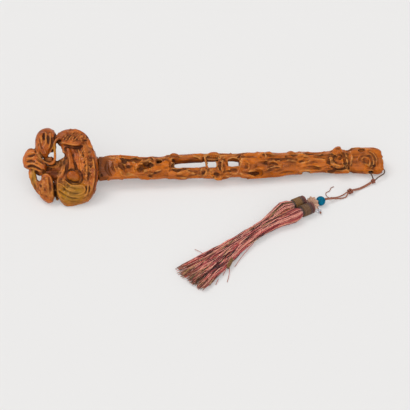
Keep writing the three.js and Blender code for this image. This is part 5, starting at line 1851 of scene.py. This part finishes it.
@dataclass
class Cap:
    """The cap of a tassel: a sleeve closed over the cord's stop knot, a red ring and wound thread."""

    letter: str
    top: Span
    seed: int
    gold: float
    height: float = 6.85
    heading: float = 206.5
    length: float = 11.6
    sleeve: float = 5.3
    sleeve_sides: int = 40
    wall: float = 0.8
    edge: float = 0.2
    hole: float = 2.2
    rim: float = 0.01
    ring_inner: float = 3.1
    ring_outer: float = 6.3
    ring_length: float = 3.0
    ring_start: float = -0.3
    ring_turns: int = 44
    ring_turn_points: int = 6
    ring_sides: int = 14
    ring_hollow: float = 0.88
    ring_ridge: float = 0.12
    ring_bluntness: float = 0.7
    threads: int = 13
    thread_radius: float = 0.46
    thread_sides: int = 6
    thread_points: int = 40
    thread_gap: float = 0.3
    thread_slack: float = 0.1
    thread_shade: float = 0.14
    first_thread: float = 0.5
    red_length: float = 1.6
    red_fade: float = 2.4
    least_dye: float = 0.05

    @property
    def body(self) -> str:
        """The body that the cap rides on."""
        return f"tassel_{self.letter}"

    @property
    def place(self) -> np.ndarray:
        """The middle of the cap's top."""
        return np.array([*self.top, self.height]) + SHIFT

    @property
    def along(self) -> np.ndarray:
        """The direction from the cap to the skirt."""
        return level(self.heading)

    def build_sleeve(self) -> None:
        """Models the sleeve: a tube closed at the top but for the cord's hole."""
        deselect()
        middle = (0, 0, self.length / 2 * MM)
        bpy.ops.mesh.primitive_cylinder_add(
            vertices=self.sleeve_sides, radius=self.sleeve * MM, depth=self.length * MM, location=middle
        )
        sleeve = bpy.context.object
        sleeve.name = f"cap_sleeve_{self.letter}_cloth"
        bpy.ops.object.transform_apply(location=True, rotation=True, scale=True)
        bpy.ops.object.mode_set(mode="EDIT")
        pick(sleeve, lambda co: co.z < self.rim * MM)
        bpy.ops.mesh.inset(thickness=(self.sleeve - self.hole) * MM)
        bpy.ops.mesh.delete(type="FACE")
        pick(sleeve, lambda co: co.z > (self.length - self.rim) * MM)
        bpy.ops.mesh.delete(type="ONLY_FACE")
        bpy.ops.object.mode_set(mode="OBJECT")
        refine(sleeve, "SOLIDIFY", thickness=self.wall * MM, offset=-1.0)
        ease_edges(sleeve, self.edge)
        sleeve.data.shade_smooth()
        settle(sleeve, self.place, self.along)
        dress(sleeve, self.body, "cap_lining", LINING.material(), f"cap_sleeve_{self.letter}")

    def build_ring(self) -> None:
        """Winds the ring over the cap's top: close turns of thread round a hoop."""
        across, up = cross_ways(self.along)
        middle = (self.ring_inner + self.ring_outer) / 2
        wide = (self.ring_outer - self.ring_inner) / 2
        tall = self.ring_length / 2
        count = self.ring_turns * self.ring_turn_points
        hoop = np.linspace(0, 2 * math.pi, count, endpoint=False)
        sides = np.arange(self.ring_sides) * 2 * math.pi / self.ring_sides
        ridge = np.abs(np.sin(hoop * self.ring_turns / 2)) ** self.ring_bluntness
        swell = self.ring_hollow + self.ring_ridge * ridge
        reach = middle + wide * swell[:, None] * np.cos(sides)[None]
        place = self.ring_start - tall + tall * swell[:, None] * np.sin(sides)[None]
        out = np.cos(hoop)[:, None] * across + np.sin(hoop)[:, None] * up
        points = self.place + reach[:, :, None] * out[:, None] + place[:, :, None] * self.along
        # The tops of the turns are painted lighter and the dips between them darker: painted shade.
        tint = np.repeat(ridge, self.ring_sides)
        faces = closed_faces(count, self.ring_sides)
        name = f"cap_ring_{self.letter}"
        ring = new_piece(f"{name}_silk", points.reshape(-1, 3), faces, tint=tint, tip=0 * tint)
        dress(ring, self.body, "cap_ring", RING_SILK.material(), name)

    def build_winding(self) -> None:
        """Winds thread round the sleeve, dark red beside the ring and olive brown below it."""
        rng = random.Random(self.seed)
        across, up = cross_ways(self.along)
        reach = self.sleeve + self.thread_gap + self.thread_radius
        turn = np.linspace(0, 2 * math.pi * self.threads, self.threads * self.thread_points + 1)
        place = self.first_thread + (self.length - 2 * self.first_thread) * turn / turn[-1]
        marks = np.arange(self.threads + 2)
        loose = np.array([rng.uniform(-self.thread_slack, 0.0) for _ in marks])
        lift = reach + np.interp(turn / (2 * math.pi), marks, loose)
        out = np.cos(turn)[:, None] * across + np.sin(turn)[:, None] * up
        route = self.place + lift[:, None] * out + place[:, None] * self.along
        radii = np.full((len(route), self.thread_sides), self.thread_radius)
        shade = np.array([rng.uniform(-self.thread_shade, self.thread_shade) for _ in marks])
        dye = np.clip((place - self.red_length) / self.red_fade, 0, 1) * self.gold + self.least_dye
        dye = np.clip(dye + np.interp(turn / (2 * math.pi), marks, shade), 0, 1)
        skein = Skein()
        skein.lay(route, radii, tint=dye, tip=0 * dye)
        winding = skein.piece(f"cap_winding_{self.letter}_silk")
        dress(winding, self.body, "cap_thread", CAP_SILK.material(), f"cap_winding_{self.letter}")

    def build(self) -> None:
        """Makes the whole cap."""
        self.build_sleeve()
        self.build_ring()
        self.build_winding()


@dataclass
class Skirt:
    """The skirt of a tassel: loose silk threads that swell below the cap, draw in and fan out in clumps.

    A station is a place of the skirt's middle, and its half width and half height there. Starts and
    lengths are shares of the skirt's length.
    """

    letter: str
    seed: int
    paleness: float
    stations: tuple[tuple[float, float, float, float, float], ...]
    strays: tuple[tuple[Place, ...], ...]
    points: int = 22
    strands: int = 290
    strand_radius: float = 0.35
    strand_sides: int = 4
    thickness: Span = (0.75, 1.15)
    table_gap: float = 0.05
    clumps: int = 26
    clump_start: float = 0.3
    clump_length: float = 0.5
    clump_pull: float = 0.66
    clump_reach: float = 1.12
    clump_shade: float = 0.4
    twist: float = 0.5
    waves: Span = (1.5, 4.2)
    free_gain: float = 6
    sway: float = 0.5
    sway_gain: float = 1.4
    sway_share: float = 0.7
    lift: float = 0.7
    lift_waves: float = 1.7
    ragged: float = 9.0
    unevenness: Span = (-1, 0.6)
    # outer_light_inner_shade: threads nearer the middle of the skirt are painted darker, as shade inside the
    # skirt.
    outer_light_inner_shade: float = 0.5
    tint_scatter: float = 0.44
    most_tint: float = 0.87
    tan_chance: float = 0.08
    tan_tint: Span = (0.9, 1.0)
    pale_length: float = 0.22
    pale_tint: float = 0.84
    tip_start: float = 0.9
    tip_length: float = 0.1
    tip_brown: Span = (0.1, 0.8)
    stray_step: float = 1.5
    stray_radius: float = 0.32
    stray_tint: float = 0.5
    stray_brown: float = 0.6

    def build(self) -> None:
        """Hangs the threads and dresses the skirt."""
        rng = random.Random(self.seed)
        line = np.array(self.stations)
        middle = smooth_route(line, length_of(line[:, :3]) / self.points)
        ahead = np.gradient(middle[:, :3], axis=0)
        ahead[:, 2] = 0
        ahead /= np.linalg.norm(ahead, axis=1)[:, None]
        aside = np.column_stack([-ahead[:, 1], ahead[:, 0], np.zeros(len(ahead))])
        share = np.linspace(0, 1, len(middle))
        centres = []
        shades = []
        for _ in range(self.clumps):
            angle = rng.uniform(0, 2 * math.pi)
            reach = math.sqrt(rng.random())
            centres.append([reach * math.cos(angle), reach * math.sin(angle)])
            shades.append(rng.uniform(-self.clump_shade, self.clump_shade))
        centres = np.array(centres)
        pull = self.clump_pull * np.clip((share - self.clump_start) / self.clump_length, 0, 1)[:, None]
        twist = self.twist * share
        free = np.clip(share * self.free_gain, 0, 1)
        pale = self.paleness * np.clip(1 - share / self.pale_length, 0, 1)
        browned = np.clip((share - self.tip_start) / self.tip_length, 0, 1)
        skein = Skein()
        for number in range(self.strands):
            angle = number * GOLDEN_ANGLE
            reach = math.sqrt((number + 0.5) / self.strands)
            spot = np.array([math.cos(angle), math.sin(angle)]) * reach
            clump = int(np.argmin(np.linalg.norm(centres - spot, axis=1)))
            turned = np.column_stack([
                spot[0] * np.cos(twist) - spot[1] * np.sin(twist),
                spot[0] * np.sin(twist) + spot[1] * np.cos(twist),
            ])
            drawn = turned + pull * (self.clump_reach * centres[clump] - turned)
            phase = rng.uniform(0, 2 * math.pi)
            waves = rng.uniform(*self.waves)
            swing = np.sin(waves * 2 * math.pi * share + phase)
            sway = (self.sway + self.sway_gain * share) * swing * free
            lift = self.lift * np.sin(self.lift_waves * waves * 2 * math.pi * share + 2 * phase) * free
            sideways = drawn[:, 0] * middle[:, 3] + self.sway_share * sway
            height = middle[:, 2] + drawn[:, 1] * middle[:, 4] + lift
            extra = rng.uniform(*self.unevenness) * self.ragged * share**3
            route = middle[:, :3] + aside * sideways[:, None] + ahead * extra[:, None]
            route[:, 2] = np.maximum(height, self.strand_radius + self.table_gap)
            thick = self.strand_radius * rng.uniform(*self.thickness)
            # Threads nearer the middle get a darker tint: painted shade inside the skirt; clumps and scatter
            # vary the tone at random.
            tint = self.outer_light_inner_shade * reach**1.5 + shades[clump] + rng.gauss(0, self.tint_scatter)
            tint = np.clip(tint, 0, self.most_tint)
            if rng.random() < self.tan_chance:
                tint = rng.uniform(*self.tan_tint)
            tint = np.clip(tint + pale * (self.pale_tint - tint), 0, 1)
            radii = np.full((len(route), self.strand_sides), thick)
            skein.lay(route, radii, tint=tint, tip=browned * rng.uniform(*self.tip_brown))
        for places in self.strays:
            route = smooth_route(np.array(places) + SHIFT, self.stray_step)
            tint = np.full(len(route), self.stray_tint)
            radii = np.full((len(route), self.strand_sides), self.stray_radius)
            skein.lay(route, radii, tint=tint, tip=np.linspace(0, self.stray_brown, len(route)))
        skirt = skein.piece(f"skirt_{self.letter}_silk")
        dress(skirt, f"tassel_{self.letter}", "tassel_silk", TASSEL_SILK.material(), f"skirt_{self.letter}")


CAP_A = Cap(letter="a", top=(98.0, -59.5), seed=11, gold=0.75)
SKIRT_A = Skirt(
    letter="a",
    seed=11,
    paleness=0.0,
    stations=(
        (89.5, -63.7, 6.85, 4.0, 4.0), (86.9, -65.0, 6.9, 5.2, 5.0), (84.6, -65.9, 7.0, 6.5, 6.1),
        (78.6, -67.6, 7.3, 7.0, 6.5), (59.3, -87.3, 6, 4.8, 5.0), (31.8, -108.4, 4.9, 5.0, 4.2),
        (-31.8, -155.2, 3.4, 11.0, 2.9),
    ),
    strays=(
        ((-12, -130.6, 3), (-15.8, -125.1, 2), (-21.6, -119.4, 1)),
        ((-29, -152.6, 2), (-32.8, -154.1, 1), (-38.6, -157.6, 0.6)),
        ((-30.3, -144.4, 2), (-35.6, -140.3, 1)),
    ),
)
CAP_B = Cap(letter="b", top=(105.0, -70.8), seed=12, gold=0.5)
SKIRT_B = Skirt(
    letter="b",
    seed=12,
    paleness=0.25,
    stations=(
        (96.5, -75, 6.85, 4.0, 4.0), (93.9, -76.5, 6.9, 5.2, 5.0), (91.7, -78.2, 7.0, 6.7, 6.1),
        (87, -81.8, 7.3, 7.7, 6.6), (64.1, -92.8, 6, 4.8, 5.0), (36.2, -113.1, 4.9, 5.0, 4.2),
        (-20.3, -169.2, 3.4, 11.0, 2.9),
    ),
    strays=(
        ((11, -150.1, 3), (9.7, -159.1, 1.5), (6.9, -169.1, 0.6)),
        ((39.1, -117.6, 4), (25.9, -133.9, 2), (16.4, -148, 0.6)),
        ((7.1, -152.8, 2), (3.7, -159.2, 0.8)),
        ((-1.5, -165.3, 2), (-4.8, -172, 0.6)),
        ((-16.8, -162.8, 2), (-19.4, -166.3, 0.6)),
    ),
)


@dataclass
class ThreadWrap:
    """A short brown wrap of thread that holds a few strands of the near tassel together."""

    route: tuple[Place, ...] = ((14.1, -142.1, 6), (11.3, -147.5, 5), (8.5, -152.3, 4))
    radius: float = 1.7
    thread: float = 0.4
    sides: int = 5
    turns: int = 13
    turn_points: int = 10
    tint: float = 0.78
    tint_swing: float = 0.15
    tint_rate: float = 0.37

    def build(self) -> None:
        """Winds the wrap and dresses it."""
        places = np.array(self.route)
        line = smooth_route(places + SHIFT, length_of(places) / (self.turns * self.turn_points))
        first, second = carried_frames(line)
        turn = np.linspace(0, 2 * math.pi * self.turns, len(line))
        coil = line + self.radius * (np.cos(turn)[:, None] * first + np.sin(turn)[:, None] * second)
        tint = self.tint + self.tint_swing * np.sin(turn * self.tint_rate)
        skein = Skein()
        skein.lay(coil, np.full((len(coil), self.sides), self.thread), tint=tint, tip=0 * tint)
        wrap = skein.piece("thread_wrap_silk")
        dress(wrap, "tassel_b", "cap_thread", CAP_SILK.material())


# Studio


@dataclass
class Studio:
    """Camera at the photograph's angle, a pale table, a soft sky, a key light from the left and a fill."""

    elevation: float = 40.0
    azimuth: float = -4.53
    distance: float = 1108.9
    target: Place = (0.233, 0.7, -41.04)
    lens: float = 85.0
    sensor: float = 36.0
    farthest: float = 50.0
    sky: float = 0.42
    backdrop: float = 0.82
    sky_colour: tuple[float, float, float, float] = (1.0, 0.998, 0.995, 1.0)
    key: float = 1.08
    key_angle: float = 34.0
    key_from: Place = (-0.45, 0.2, 0.88)
    fill: float = 1.35
    fill_angle: float = 80.0
    fill_from: Place = (0.1, -0.75, 0.68)
    table: str = "#ebeae9"
    table_size: float = 12.0
    table_roughness: float = 0.9
    table_glow: float = 0.3

    @staticmethod
    def shown(tree: NodeTree) -> NodeSocket:
        """Tells the background as it is seen from the light that it gives.

        Args:
            tree: the node tree.

        Returns:
            One where the camera, a gloss or clear glass shows it, and zero elsewhere.
        """
        rays = add_node(tree, "ShaderNodeLightPath").outputs
        plain = work_out(tree, "ADD", rays["Is Camera Ray"], rays["Is Glossy Ray"])
        return work_out(tree, "ADD", plain, rays["Is Transmission Ray"], clamped=True)

    def camera(self) -> None:
        """Sets the camera."""
        data = bpy.data.cameras.new("photo_camera")
        data.lens = self.lens
        data.sensor_width = self.sensor
        data.sensor_fit = "HORIZONTAL"
        data.clip_end = self.farthest
        camera = bpy.data.objects.new("photo_camera", data)
        bpy.context.scene.collection.objects.link(camera)
        tilt, swing = math.radians(self.elevation), math.radians(self.azimuth)
        back = Vector((math.sin(swing) * math.cos(tilt), -math.cos(swing) * math.cos(tilt), math.sin(tilt)))
        camera.location = (Vector(self.target) + back * self.distance) * MM
        camera.rotation_euler = back.to_track_quat("Z", "Y").to_euler()
        bpy.context.scene.camera = camera

    def lay_table(self) -> None:
        """Lays the table, which glows a little where it is seen, so that its shadows stay pale."""
        deselect()
        bpy.ops.mesh.primitive_plane_add(size=self.table_size)
        table = bpy.context.object
        table.name = "table"
        material, tree, shader = new_material("pale_table_paper")
        feed(shader, {"Base Color": linear(self.table), "Roughness": self.table_roughness})
        surface = shader.outputs[0].links[0].to_socket
        glow = add_node(tree, "ShaderNodeEmission", inputs={"Color": linear(self.table)}).outputs[0]
        part = work_out(tree, "MULTIPLY", self.shown(tree), self.table_glow)
        paper = add_node(tree, "ShaderNodeMixShader", inputs={0: part, 1: shader.outputs[0], 2: glow})
        tree.links.new(paper.outputs[0], surface)
        table.data.materials.append(material)

    def set_sky(self) -> None:
        """Sets the sky, which is brighter where it is seen than where it lights."""
        world = bpy.data.worlds.new("studio")
        world.use_nodes = True
        bpy.context.scene.world = world
        tree = world.node_tree
        tree.nodes.clear()
        strength = remap(tree, self.shown(tree), self.sky, self.backdrop)
        inputs = {"Color": self.sky_colour, "Strength": strength}
        glow = add_node(tree, "ShaderNodeBackground", inputs=inputs).outputs[0]
        add_node(tree, "ShaderNodeOutputWorld", inputs={"Surface": glow})

    def light(self) -> None:
        """Sets the table, the sky, the key light and the fill."""
        bpy.context.scene.view_settings.view_transform = "Standard"
        self.lay_table()
        self.set_sky()
        for name, energy, angle, place in (
            ("key", self.key, self.key_angle, self.key_from),
            ("fill", self.fill, self.fill_angle, self.fill_from),
        ):
            sun = bpy.data.lights.new(name, "SUN")
            sun.energy = energy
            sun.angle = math.radians(angle)
            lamp = bpy.data.objects.new(name, sun)
            lamp.rotation_euler = Vector(place).to_track_quat("Z", "Y").to_euler()
            bpy.context.scene.collection.objects.link(lamp)


def main() -> None:
    """Builds the studio, the pendant and the wood."""
    logging.basicConfig(level=logging.INFO, format="%(name)s %(message)s")
    studio = Studio()
    studio.camera()
    for part in (Cords(), Beads(), CAP_A, SKIRT_A, CAP_B, SKIRT_B, ThreadWrap(), Head(), Shaft()):
        part.build()
    studio.light()


if __name__ == "__main__":
    main()
